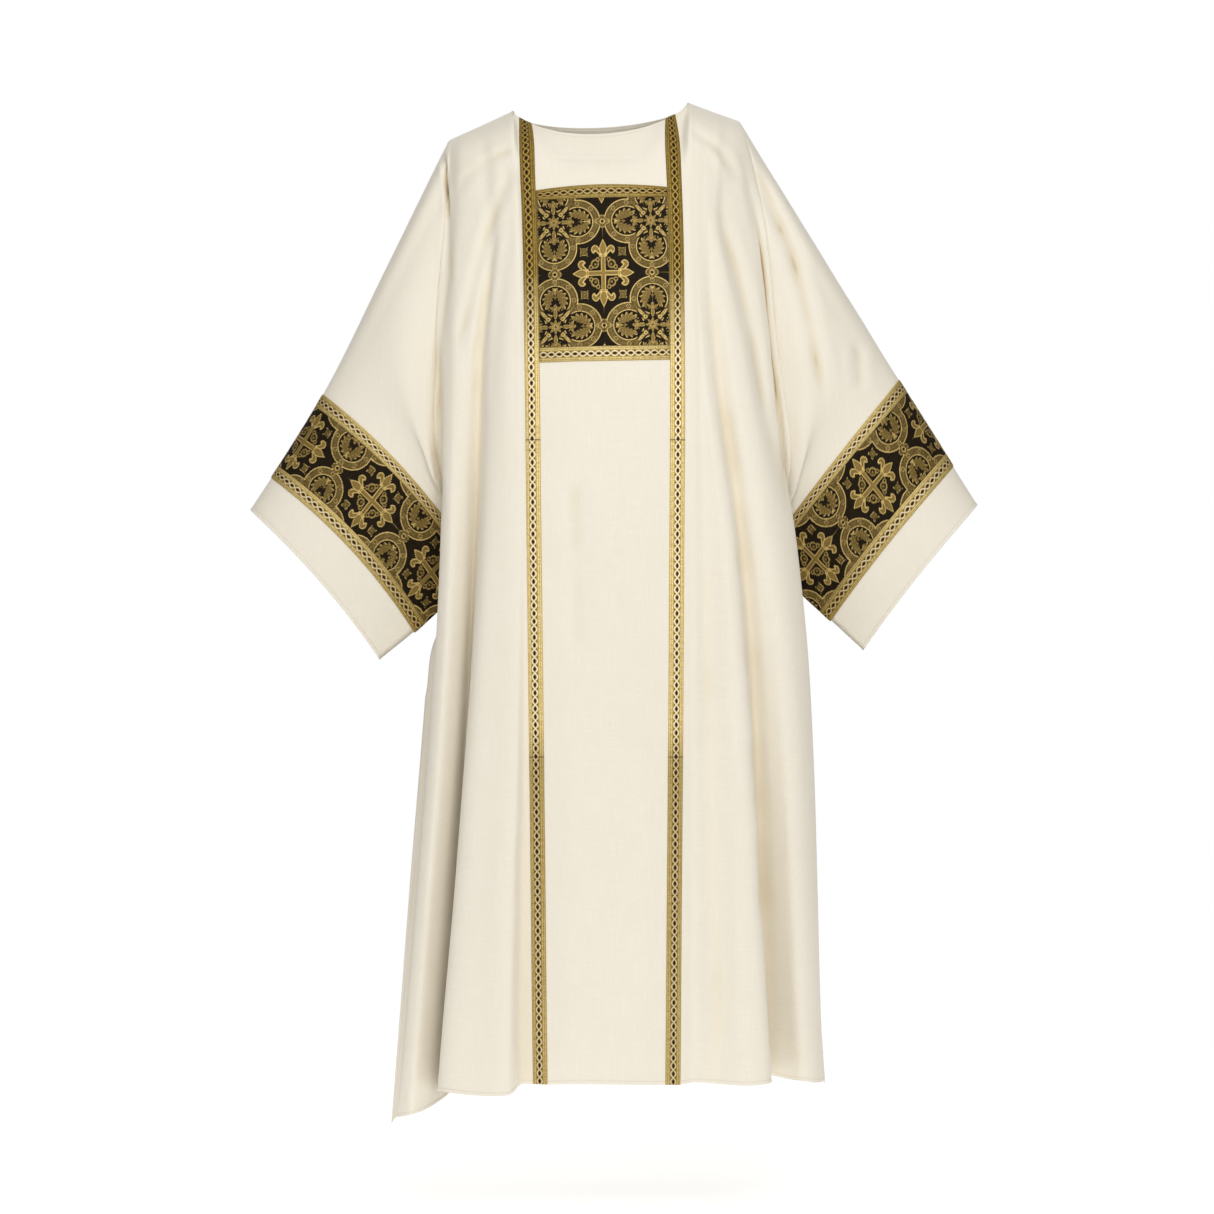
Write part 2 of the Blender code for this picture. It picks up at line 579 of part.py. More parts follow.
def make_chest_apparel(front):
    """The brocade square between the front clavi, with a galloon across its top and its foot."""
    first = front.column("right clavus left edge")
    last = front.column("left clavus right edge")
    columns = drawn_in(between(first, last), 0.012)
    levels = np.array(ROWS_ABOVE_UNDERARM)
    foot = CHEST_FOOT - GALLOON_WIDTH
    for name, top, low, thick, material in (
        ("chest_galloon_upper", CHEST_TOP, YOKE, GALLOON_THICK, GOLD_GALLOON),
        ("chest_apparel", YOKE, foot, BROCADE_THICK, BLACK_GOLD_BROCADE),
        ("chest_galloon_lower", foot, CHEST_FOOT, GALLOON_THICK, GOLD_GALLOON),
    ):
        rows = levels[(levels > top - STEP) & (levels < low + STEP)]
        trim(name, front, columns, drawn_in(rows, GAP / 2), thick, material)


def make_sleeve_bands(sleeve):
    """The brocade apparel round a sleeve, with a galloon along each of its edges."""
    round_it = sleeve.round_from_levels(np.array(ROWS_ABOVE_UNDERARM))
    rings = np.array(SLEEVE_RINGS)
    upper = SLEEVE_TO_BAND + GALLOON_WIDTH
    lower = SLEEVE_TO_BAND + SLEEVE_BAND - GALLOON_WIDTH
    side = sleeve.name.split("_")[1]
    for name, top, low, thick, material in (
        ("sleeve_galloon_upper", SLEEVE_TO_BAND, upper, GALLOON_THICK, GOLD_GALLOON),
        ("sleeve_apparel", upper, lower, BROCADE_THICK, BLACK_GOLD_BROCADE),
        ("sleeve_galloon_lower", lower, SLEEVE_TO_BAND + SLEEVE_BAND, GALLOON_THICK, GOLD_GALLOON),
    ):
        rows = rings[(rings > top - STEP) & (rings < low + STEP)]
        trim(f"{name}_{side}", sleeve, round_it, drawn_in(rows, GAP / 2), thick, material, ring=True)


def main():
    for leftover in list(bpy.data.objects):
        bpy.data.objects.remove(leftover)
    front = Panel(FRONT_FOLDS, "front", NECK_FRONT)
    back = Panel(BACK_FOLDS, "back", NECK_BACK)
    right = Sleeve(RIGHT_EDGE, RIGHT_RINGS)
    right.name = "sleeve_right"
    left = Sleeve(LEFT_EDGE, LEFT_RINGS)
    left.name = "sleeve_left"
    make_body(front, back, (right, left))
    make_clavi(front)
    make_clavi(back)
    make_chest_apparel(front)
    make_sleeve_bands(right)
    make_sleeve_bands(left)


main()
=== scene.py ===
"""Dressed dalmatic: the cloth, galloons and brocade of a wide-sleeved vestment, on the form of its CAD nodes.

Metres, +Z up. The front faces -Y and the wearer's left is +X. Each piece of cloth is a smooth surface of two
parameters, worked out as whole arrays, with its creases, seams and turned edges added as small moves along
the normals. Trims are made from the same surfaces, moved out by their own thickness.
"""

import logging
import math
from dataclasses import dataclass, field
from enum import Enum
from typing import Protocol

import bpy
import numpy as np
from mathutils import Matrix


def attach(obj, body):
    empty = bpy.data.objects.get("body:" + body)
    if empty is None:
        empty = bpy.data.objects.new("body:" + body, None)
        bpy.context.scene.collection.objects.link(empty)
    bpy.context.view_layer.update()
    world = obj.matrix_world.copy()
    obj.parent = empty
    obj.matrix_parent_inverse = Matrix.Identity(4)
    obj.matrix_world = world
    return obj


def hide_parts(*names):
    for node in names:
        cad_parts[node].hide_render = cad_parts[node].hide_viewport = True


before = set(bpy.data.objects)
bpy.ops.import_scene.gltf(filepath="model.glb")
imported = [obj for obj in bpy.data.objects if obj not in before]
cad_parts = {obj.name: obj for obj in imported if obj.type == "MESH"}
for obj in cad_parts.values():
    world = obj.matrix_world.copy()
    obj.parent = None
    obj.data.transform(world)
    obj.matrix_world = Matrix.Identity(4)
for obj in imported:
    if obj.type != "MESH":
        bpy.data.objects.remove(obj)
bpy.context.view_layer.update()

LOG = logging.getLogger("dalmatic")

# Cloth and trim, as in the part
WOOL_THICK = 0.0011
GALLOON_THICK = 0.0011
BROCADE_THICK = 0.0008
GAP = 0.0002
GALLOON_WIDTH = 0.020
BROCADE_BAND = 0.094

# Heights below the neck points
YOKE = 0.142
BREAST = 0.362
UNDERARM = 0.615
SLIT_TOP = 0.807
LENGTH = 1.327
ROLL = 0.030

# Neck opening
NECK_CENTRE = -0.004
NECK_HALF_WIDTH = 0.122
NECK_TILT = 0.046
NECK_EASE = 1.2

# Chest apparel
CHEST_TOP = YOKE - GALLOON_WIDTH
CHEST_FOOT = BREAST
CHEST_TILT = 0.02

# Sleeve, measured down its outer edge from the shoulder
SLEEVE_TO_BAND = 0.391
SLEEVE_BAND = BROCADE_BAND + 2 * GALLOON_WIDTH
CUFF_MARGIN = 0.060
SLEEVE_LENGTH = SLEEVE_TO_BAND + SLEEVE_BAND + CUFF_MARGIN
SLEEVE_FULLNESS = 0.016
TEARDROP = 2.6
TEARDROP_SPACING = 1.4
STEP = 1e-4

# Turned edges, rows of points near an edge, and how far round a fold its hollow is measured
STITCHES = 0.0046
EDGE_ROWS = 0.0064
FINE_ROW = 0.0008
FOLD_REACH = 0.022

# Trims: how far they stop short of each other, and points across a galloon
CLEAR = 0.0001
GALLOON_ROWS = 9

# Where lengths of galloon are joined on each clavus
GALLOON_JOINS = (-0.467, -0.890)

# Painted sheen on a clavus, from 0 (dull threads in painted shade) to 1 (a painted bright sheen), at distances below
# the neck points
CLAVUS_PAINTED_SHEEN = ((0.24, 0.0), (0.36, 0.90), (0.85, 0.85), (0.90, 0.35), (1.10, 0.40), (1.33, 0.45))


class Face(Enum):
    """Which way a panel looks."""

    FRONT = "front"
    BACK = "back"

    @property
    def outward(self) -> int:
        """-1 for the front and 1 for the back, the sign of Y."""
        return -1 if self is Face.FRONT else 1


class Hand(Enum):
    """The wearer's right or left."""

    RIGHT = "right"
    LEFT = "left"


class Held(Enum):
    """How a sheet of cloth is held."""

    HUNG = "hung"


@dataclass(frozen=True)
class Neck:
    """One side of the neck opening: how far it reaches, how square it is, and how far it falls."""

    depth: float
    squareness: float
    drop: float


@dataclass(frozen=True)
class Fold:
    """One fold line. top is where it leaves the top edge, and the others are (across, forward or back)."""

    name: str
    top: float
    yoke: tuple[float, float]
    breast: tuple[float, float]
    under: tuple[float, float]
    hem: tuple[float, float]
    dip: float


@dataclass(frozen=True)
class Edge:
    """One point of a panel's side: front and back are how far forward and back the two panels lie there."""

    level: float
    across: float
    front: float
    back: float
    height: float
    lift: float = 0.0


@dataclass(frozen=True)
class Ring:
    """One flattened ring of a sleeve, with its edge over the arm and its lower edge as (across, height)."""

    name: str
    along: float
    out: tuple[float, float]
    under: tuple[float, float]
    front: float
    back: float
    bow: float


@dataclass(frozen=True)
class Crease:
    """A soft trough in the cloth, or a ridge where the depth is negative.

    depth, width and the path's (across, height) points are in millimetres.
    """

    name: str
    face: Face
    depth: float
    width: float
    path: tuple[tuple[float, float], ...]


NECKS = {Face.FRONT: Neck(-0.085, 0.55, 0.050), Face.BACK: Neck(0.066, 0.60, 0.020)}

FRONT_FOLDS = (
    Fold("right return", -0.209, (-0.209, -0.058), (-0.223, -0.068), (-0.183, -0.052), (-0.282, -0.072), 0.056),
    Fold("right tube side", -0.204, (-0.206, -0.066), (-0.217, -0.078), (-0.221, -0.082), (-0.277, -0.078), 0.054),
    Fold("right tube crest", -0.195, (-0.194, -0.084), (-0.202, -0.100), (-0.206, -0.108), (-0.260, -0.092), 0.049),
    Fold("right tube shoulder", -0.182, (-0.172, -0.096), (-0.182, -0.103), (-0.187, -0.096), (-0.241, -0.068), 0.045),
    Fold("right deep valley", -0.170, (-0.155, -0.102), (-0.165, -0.096), (-0.175, -0.072), (-0.213, -0.014), 0.032),
    Fold("right valley lip", -0.158, (-0.142, -0.111), (-0.151, -0.120), (-0.161, -0.132), (-0.220, -0.128), 0.012),
    Fold("right side face", -0.143, (-0.128, -0.117), (-0.131, -0.137), (-0.136, -0.147), (-0.175, -0.152), 0.014),
    Fold("right neck point", -0.126, (-0.119, -0.121), (-0.116, -0.142), (-0.113, -0.153), (-0.126, -0.164), 0.012),
    Fold("right step", -0.122, (-0.114, -0.122), (-0.110, -0.143), (-0.106, -0.151), (-0.110, -0.133), 0.002),
    Fold("right clavus", -0.106, (-0.100, -0.126), (-0.095, -0.146), (-0.092, -0.152), (-0.084, -0.139), 0.001),
    Fold("right wave", -0.057, (-0.054, -0.131), (-0.052, -0.152), (-0.048, -0.159), (-0.036, -0.153), -0.001),
    Fold("centre", -0.005, (-0.001, -0.133), (0.001, -0.154), (0.003, -0.160), (0.007, -0.149), 0.000),
    Fold("left wave", 0.046, (0.051, -0.131), (0.052, -0.152), (0.048, -0.159), (0.047, -0.154), 0.000),
    Fold("left clavus", 0.091, (0.096, -0.126), (0.099, -0.146), (0.098, -0.152), (0.093, -0.145), 0.001),
    Fold("left neck point", 0.118, (0.117, -0.122), (0.122, -0.143), (0.121, -0.154), (0.121, -0.151), -0.003),
    Fold("left soft valley", 0.125, (0.122, -0.120), (0.129, -0.140), (0.137, -0.148), (0.154, -0.143), 0.000),
    Fold("left face crest", 0.131, (0.127, -0.118), (0.135, -0.139), (0.161, -0.155), (0.191, -0.161), 0.000),
    Fold("left valley lip", 0.138, (0.133, -0.115), (0.143, -0.134), (0.177, -0.149), (0.222, -0.151), -0.002),
    Fold("left deep valley", 0.145, (0.140, -0.112), (0.154, -0.124), (0.188, -0.124), (0.219, -0.050), -0.001),
    Fold("left tube side", 0.151, (0.146, -0.109), (0.170, -0.129), (0.204, -0.131), (0.249, -0.072), 0.003),
    Fold("left tube crest", 0.159, (0.153, -0.105), (0.188, -0.122), (0.222, -0.133), (0.270, -0.097), 0.003),
    Fold("left outer valley", 0.168, (0.162, -0.096), (0.208, -0.098), (0.244, -0.119), (0.287, -0.089), 0.006),
    Fold("left outer ridge", 0.178, (0.188, -0.080), (0.226, -0.085), (0.263, -0.084), (0.300, -0.066), 0.007),
    Fold("left return", 0.184, (0.205, -0.063), (0.233, -0.070), (0.226, -0.052), (0.301, -0.058), 0.007),
)

BACK_FOLDS = (
    Fold("right return", -0.209, (-0.215, 0.057), (-0.229, 0.068), (-0.187, 0.048), (-0.281, 0.046), 0.007),
    Fold("right side crest", -0.200, (-0.206, 0.074), (-0.218, 0.090), (-0.218, 0.086), (-0.274, 0.072), 0.007),
    Fold("right side valley", -0.185, (-0.187, 0.088), (-0.192, 0.084), (-0.197, 0.080), (-0.235, 0.046), 0.001),
    Fold("right lip", -0.169, (-0.168, 0.098), (-0.172, 0.110), (-0.177, 0.116), (-0.224, 0.122), -0.001),
    Fold("right soft valley", -0.148, (-0.145, 0.106), (-0.146, 0.119), (-0.144, 0.121), (-0.167, 0.128), -0.001),
    Fold("right neck point", -0.126, (-0.125, 0.110), (-0.124, 0.125), (-0.120, 0.132), (-0.126, 0.150), -0.001),
    Fold("right clavus", -0.108, (-0.106, 0.112), (-0.103, 0.128), (-0.100, 0.133), (-0.094, 0.143), -0.002),
    Fold("right wave", -0.058, (-0.056, 0.114), (-0.055, 0.131), (-0.053, 0.130), (-0.049, 0.131), -0.002),
    Fold("centre", -0.004, (0.000, 0.114), (0.001, 0.133), (0.002, 0.138), (0.004, 0.148), -0.002),
    Fold("left wave", 0.048, (0.055, 0.114), (0.055, 0.131), (0.053, 0.132), (0.053, 0.134), -0.002),
    Fold("left clavus", 0.095, (0.105, 0.111), (0.108, 0.128), (0.106, 0.133), (0.099, 0.144), -0.002),
    Fold("left neck point", 0.118, (0.124, 0.109), (0.129, 0.124), (0.129, 0.131), (0.132, 0.149), -0.001),
    Fold("left soft valley", 0.135, (0.141, 0.105), (0.150, 0.117), (0.156, 0.119), (0.169, 0.126), -0.001),
    Fold("left lip", 0.149, (0.159, 0.098), (0.173, 0.112), (0.188, 0.122), (0.218, 0.135), -0.003),
    Fold("left side valley", 0.162, (0.178, 0.088), (0.197, 0.088), (0.214, 0.090), (0.231, 0.056), -0.005),
    Fold("left side crest", 0.176, (0.200, 0.072), (0.227, 0.088), (0.251, 0.086), (0.280, 0.082), -0.003),
    Fold("left return", 0.184, (0.210, 0.058), (0.239, 0.068), (0.229, 0.048), (0.295, 0.052), -0.003),
)

SIDES = {
    Hand.RIGHT: (
        Edge(0, -0.212, 0.000, 0.000, -0.046),
        Edge(ROLL, -0.213, -0.028, 0.027, -0.060),
        Edge(YOKE, -0.214, -0.051, 0.049, -0.129),
        Edge(BREAST, -0.229, -0.060, 0.058, -0.351),
        Edge(0.515, -0.220, -0.055, 0.052, -0.512),
        Edge(0.575, -0.196, -0.036, 0.034, -0.573),
        Edge(UNDERARM, -0.151, 0.003, 0.003, -0.619),
        Edge(0.675, -0.202, 0.004, 0.004, -0.682),
        Edge(0.730, -0.233, 0.003, 0.003, -0.734),
        Edge(SLIT_TOP, -0.245, 0.000, 0.000, -0.807),
        Edge(LENGTH, -0.288, -0.066, 0.036, -1.391, 0.046),
    ),
    Hand.LEFT: (
        Edge(0, 0.187, 0.000, 0.000, -0.020),
        Edge(ROLL, 0.193, -0.028, 0.027, -0.041),
        Edge(YOKE, 0.214, -0.051, 0.049, -0.129),
        Edge(BREAST, 0.239, -0.062, 0.058, -0.351),
        Edge(0.515, 0.253, -0.058, 0.053, -0.512),
        Edge(0.575, 0.237, -0.038, 0.035, -0.569),
        Edge(UNDERARM, 0.193, 0.003, 0.003, -0.608),
        Edge(0.675, 0.237, 0.004, 0.004, -0.676),
        Edge(0.730, 0.261, 0.003, 0.003, -0.734),
        Edge(SLIT_TOP, 0.271, 0.000, 0.000, -0.807),
        Edge(LENGTH, 0.302, -0.052, 0.040, -1.341, 0.014),
    ),
}

RINGS = {
    Hand.RIGHT: (
        Ring("band top", SLEEVE_TO_BAND, (-0.386, -0.397), (-0.171, -0.639), 0.057, 0.052, 0.016),
        Ring("band foot", SLEEVE_TO_BAND + SLEEVE_BAND, (-0.457, -0.512), (-0.261, -0.725), 0.050, 0.046, 0.015),
        Ring("cuff", SLEEVE_LENGTH, (-0.486, -0.556), (-0.308, -0.763), 0.046, 0.043, 0.010),
    ),
    Hand.LEFT: (
        Ring("band top", SLEEVE_TO_BAND, (0.407, -0.377), (0.218, -0.622), 0.057, 0.052, 0.004),
        Ring("band foot", SLEEVE_TO_BAND + SLEEVE_BAND, (0.482, -0.496), (0.314, -0.709), 0.050, 0.046, 0.006),
        Ring("cuff", SLEEVE_LENGTH, (0.515, -0.549), (0.358, -0.750), 0.046, 0.043, 0.006),
    ),
}

CREASES = (
    Crease("right neck fan, long", Face.FRONT, 3.0, 7, (
        (-122, -72), (-130, -120), (-147, -161), (-160, -196), (-174, -250), (-193, -328), (-198, -368),
    )),
    Crease("right neck fan, short", Face.FRONT, 2.6, 6, (
        (-112, -70), (-140, -81), (-165, -94), (-188, -111), (-201, -134),
    )),
    Crease("right chest fold", Face.FRONT, 2.4, 5, (
        (-129, -160), (-145, -191), (-152, -222), (-157, -263), (-163, -305), (-169, -356), (-171, -437),
    )),
    Crease("right chest ridge", Face.FRONT, -1.2, 5, (
        (-117, -160), (-133, -191), (-140, -222), (-145, -263), (-150, -305), (-155, -356), (-157, -437),
    )),
    Crease("right skirt", Face.FRONT, 1.6, 12, ((-115, -947), (-115, -1121), (-115, -1335))),
    Crease("left shoulder crease", Face.FRONT, 3.4, 6, (
        (108, -41), (130, -56), (155, -72), (181, -101), (189, -118),
    )),
    Crease("left shoulder ridge", Face.FRONT, -1.8, 6, (
        (103, -41), (122, -54), (144, -69), (164, -104), (170, -121),
    )),
    Crease("left chest to seam", Face.FRONT, 3.3, 8, (
        (147, -98), (152, -117), (164, -183), (181, -236), (197, -302), (207, -355), (218, -413), (233, -483),
        (246, -548), (250, -580),
    )),
    Crease("left long valley", Face.FRONT, 2.6, 10, (
        (135, -192), (136, -209), (144, -263), (150, -342), (160, -413), (172, -483), (185, -580),
        (190, -704), (197, -775), (203, -894), (209, -967), (215, -1084), (226, -1200), (233, -1323),
    )),
    Crease("left broad valley, upper", Face.FRONT, 1.6, 15, ((139, -613), (139, -770), (139, -921))),
    Crease("left broad valley, lower", Face.FRONT, 1.6, 13, ((152, -1054), (152, -1183), (152, -1322))),
    Crease("centre shade", Face.FRONT, 2.0, 14, ((-40, -470), (-37, -560), (-33, -667), (-31, -790))),
    Crease("centre ridge", Face.FRONT, -1.3, 13, ((-7, -500), (-7, -613), (-4, -720))),
    Crease("centre second shade", Face.FRONT, 1.0, 12, ((26, -500), (24, -613), (22, -760))),
    Crease("right armhole pit", Face.FRONT, 5.5, 2.6, (
        (-219, -62), (-216, -92), (-214, -118), (-212, -144), (-212, -172),
    )),
    Crease("right armhole", Face.FRONT, 3.2, 5, (
        (-211, -110), (-210, -179), (-210, -236), (-218, -292), (-225, -342), (-225, -413), (-227, -479),
        (-221, -548), (-218, -586),
    )),
    Crease("left armhole", Face.FRONT, 2.8, 6, (
        (175, -36), (181, -49), (186, -72), (197, -109), (207, -157), (217, -199), (223, -263), (229, -328),
        (235, -413), (242, -467), (250, -541), (255, -580), (257, -606),
    )),
    Crease("left armhole slit", Face.FRONT, 3.8, 2.4, (
        (205, -130), (213, -175), (224, -262), (231, -330), (238, -407), (245, -480), (250, -540),
    )),
    Crease("left sleeve, upper", Face.FRONT, 3.2, 8, (
        (206, -78), (213, -98), (231, -145), (245, -183), (250, -199),
    )),
    Crease("left sleeve, long", Face.FRONT, 3.9, 10, (
        (237, -139), (242, -157), (261, -223), (274, -276), (289, -355), (300, -413), (304, -433),
    )),
    Crease("left sleeve, short", Face.FRONT, 2.4, 8, ((346, -326), (348, -342), (350, -382), (350, -399))),
    Crease("press line", Face.FRONT, 0.70, 2.5, ((-74, -86), (0, -88), (63, -86))),
    Crease("back right shoulder", Face.BACK, 2.0, 7, (
        (-132, -70), (-150, -130), (-172, -200), (-190, -290), (-200, -380),
    )),
    Crease("back left shoulder", Face.BACK, 2.0, 7, (
        (122, -66), (142, -120), (168, -200), (186, -300), (196, -400),
    )),
    Crease("back right armhole", Face.BACK, 3.0, 7, (
        (-210, -90), (-214, -180), (-224, -290), (-226, -400), (-222, -520), (-216, -590),
    )),
    Crease("back left armhole", Face.BACK, 3.0, 7, (
        (186, -60), (206, -150), (226, -270), (236, -400), (248, -510), (254, -590),
    )),
    Crease("back right skirt", Face.BACK, 1.8, 13, ((-146, -560), (-148, -800), (-160, -1060), (-168, -1320))),
    Crease("back left skirt", Face.BACK, 1.8, 13, ((158, -560), (162, -800), (172, -1060), (178, -1320))),
    Crease("back middle", Face.BACK, 1.0, 14, ((-24, -380), (-30, -600), (-26, -860))),
    Crease("back right sleeve", Face.BACK, 1.8, 8, ((-240, -150), (-270, -250), (-296, -350), (-312, -430))),
    Crease("back left sleeve", Face.BACK, 1.8, 8, ((242, -157), (268, -240), (290, -340), (304, -430))),
)

# Slow unevenness that all the cloth shares: millimetres high, and waves per metre across, forward and down
UNEVEN = (
    (0.30, 9.0, 4.0, 3.1, 0.4),
    (0.22, 13.0, -7.0, 5.2, 2.1),
    (0.16, -21.0, 5.0, 9.0, 4.0),
    (0.10, 31.0, 11.0, -14.0, 1.3),
)


def unit(vectors: np.ndarray) -> np.ndarray:
    """The vectors at length 1."""
    return vectors / np.linalg.norm(vectors, axis=-1, keepdims=True)


def smooth(low: float, high: float, value: np.ndarray) -> np.ndarray:
    """A step from 0 at low to 1 at high: 3t squared less 2t cubed of the share t of the way."""
    t = np.clip((value - low) / (high - low), 0, 1)
    return t * t * (3 - 2 * t)


def run_length(points: np.ndarray, axis: int) -> np.ndarray:
    """How far each point of a grid is from the grid's first one along an axis, over the points between.

    Args:
        points: rows by columns by 3.
        axis: 0 down the rows, 1 across the columns.

    Returns:
        Rows by columns of lengths.
    """
    steps = np.linalg.norm(np.diff(points, axis=axis), axis=-1)
    start = np.zeros_like(np.take(steps, [0], axis=axis))
    return np.concatenate([start, np.cumsum(steps, axis=axis)], axis=axis)


def cubic(
    t: np.ndarray, span: np.ndarray, first: np.ndarray, last: np.ndarray, rise: np.ndarray, fall: np.ndarray
) -> np.ndarray:
    """A cubic from first to last with the slopes rise and fall over a span, at the share t of the way."""
    return (
        (2 * t**3 - 3 * t**2 + 1) * first
        + (t**3 - 2 * t**2 + t) * span * rise
        + (3 * t**2 - 2 * t**3) * last
        + (t**3 - t**2) * span * fall
    )


def curve_through(knots: object, points: object, at: object) -> np.ndarray:
    """A smooth cubic curve through points[i] at knots[i].

    The slope at a knot is the mean of the slopes on its two sides, each weighted by the other's length.

    Args:
        knots: rising numbers.
        points: one point, or one array of points, for each knot.
        at: where the curve is read.

    Returns:
        One point, or array, for each value of at.
    """
    knots = np.asarray(knots, float)
    points = np.asarray(points, float)
    at = np.atleast_1d(np.asarray(at, float))
    shape = (-1,) + (1,) * (points.ndim - 1)
    length = np.diff(knots).reshape(shape)
    rise = np.diff(points, axis=0) / length
    slope = np.concatenate([rise[:1], rise])
    slope[1:-1] = (length[1:] * rise[:-1] + length[:-1] * rise[1:]) / (length[1:] + length[:-1])
    i = np.clip(np.searchsorted(knots, at, side="right") - 1, 0, len(knots) - 2)
    t = ((at - knots[i]) / np.diff(knots)[i]).reshape(shape)
    return cubic(t, length[i], points[i], points[i + 1], slope[i], slope[i + 1])


def across_folds(lines: np.ndarray, at: np.ndarray) -> np.ndarray:
    """The same kind of curve across fold lines, spaced by the square root of the distance between folds.

    Args:
        lines: rows by folds by 3.
        at: places counted in folds.

    Returns:
        Rows by places by 3.
    """
    space = np.sqrt(np.linalg.norm(np.diff(lines, axis=1), axis=2, keepdims=True))
    rise = np.diff(lines, axis=1) / space
    slope = np.concatenate([rise[:, :1], rise], axis=1)
    slope[:, 1:-1] = (space[:, 1:] * rise[:, :-1] + space[:, :-1] * rise[:, 1:]) / (space[:, 1:] + space[:, :-1])
    i = np.clip(np.floor(at).astype(int), 0, lines.shape[1] - 2)
    t = (at - i)[None, :, None]
    return cubic(t, space[:, i], lines[:, i], lines[:, i + 1], slope[:, i], slope[:, i + 1])


def round_neck(across: np.ndarray) -> np.ndarray:
    """How far round the neck a point of the top edge is: 1 at the middle, 0 at the neck points."""
    turn = np.clip((np.asarray(across, float) - NECK_CENTRE) / NECK_HALF_WIDTH, -1, 1)
    return np.sqrt(1 - turn**2)


def top_edge(across: np.ndarray, neck: Neck) -> np.ndarray:
    """The neckline, and the straight shoulder seam to each side of it.

    Args:
        across: places from right to left.
        neck: the panel's side of the opening.

    Returns:
        One point for each place.
    """
    across = np.asarray(across, float)
    round_it = round_neck(across)
    height = NECK_TILT * (across - NECK_CENTRE) - neck.drop * round_it**NECK_EASE
    for side, hand in ((-1, Hand.RIGHT), (1, Hand.LEFT)):
        shoulder = SIDES[hand][0]
        point = NECK_CENTRE + side * NECK_HALF_WIDTH
        slope = (shoulder.height - NECK_TILT * side * NECK_HALF_WIDTH) / (shoulder.across - point)
        seam = NECK_TILT * side * NECK_HALF_WIDTH + slope * (across - point)
        height = np.where((across - point) * side > 0, seam, height)
    return np.stack([across, neck.depth * round_it**neck.squareness, height], axis=-1)


LEVELS = (0, ROLL, CHEST_TOP, YOKE, BREAST, UNDERARM, LENGTH)


def fold_line(fold: Fold, neck: Neck) -> list:
    """The points of one fold line at the levels in LEVELS, rolling over the shoulder above the yoke.

    Args:
        fold: the fold's row of the table.
        neck: the panel's side of the neck opening.

    Returns:
        Seven points, from the top edge to the hem.
    """
    top = top_edge(fold.top, neck)
    round_it = round_neck(fold.top)
    yoke = np.array([*fold.yoke, -YOKE])
    share = np.array([0.30, 0.55 - 0.25 * round_it, 0.16 + 0.08 * round_it])
    roll = top + share * (yoke - top)
    rise = (YOKE - CHEST_TOP) / (YOKE + roll[2])
    above_yoke = yoke + rise * np.array([1, 0.4, 1]) * (roll - yoke)
    breast = [*fold.breast, -BREAST + CHEST_TILT * fold.breast[0]]
    return [top, roll, above_yoke, yoke, breast, [*fold.under, -UNDERARM], [*fold.hem, -LENGTH - fold.dip]]


def edge_line(edges: tuple[Edge, ...], face: Face, at: object) -> np.ndarray:
    """One side edge of a panel: armhole, side seam and slit, three curves that meet at corners.

    Args:
        edges: the side's table.
        face: front or back.
        at: levels.

    Returns:
        One point for each level.
    """
    at = np.atleast_1d(np.asarray(at, float))
    lifted = face is Face.BACK
    points = np.array([[e.across, getattr(e, face.value), e.height + lifted * e.lift] for e in edges])
    levels = np.array([e.level for e in edges])
    armhole = levels <= UNDERARM
    seam = (levels >= UNDERARM) & (levels <= SLIT_TOP)
    slit = levels >= SLIT_TOP
    line = curve_through(levels[armhole], points[armhole], at)
    line[at > UNDERARM] = curve_through(levels[seam], points[seam], at[at > UNDERARM])
    line[at > SLIT_TOP] = curve_through(levels[slit], points[slit], at[at > SLIT_TOP])
    return line


class Surface(Protocol):
    """A smooth surface of two parameters: across the cloth, and down it."""

    def points(self, across: np.ndarray, down: np.ndarray) -> np.ndarray:
        """Points of the surface, down by across by 3."""

    def normals(self, across: np.ndarray, down: np.ndarray) -> np.ndarray:
        """Outward normals, down by across by 3."""


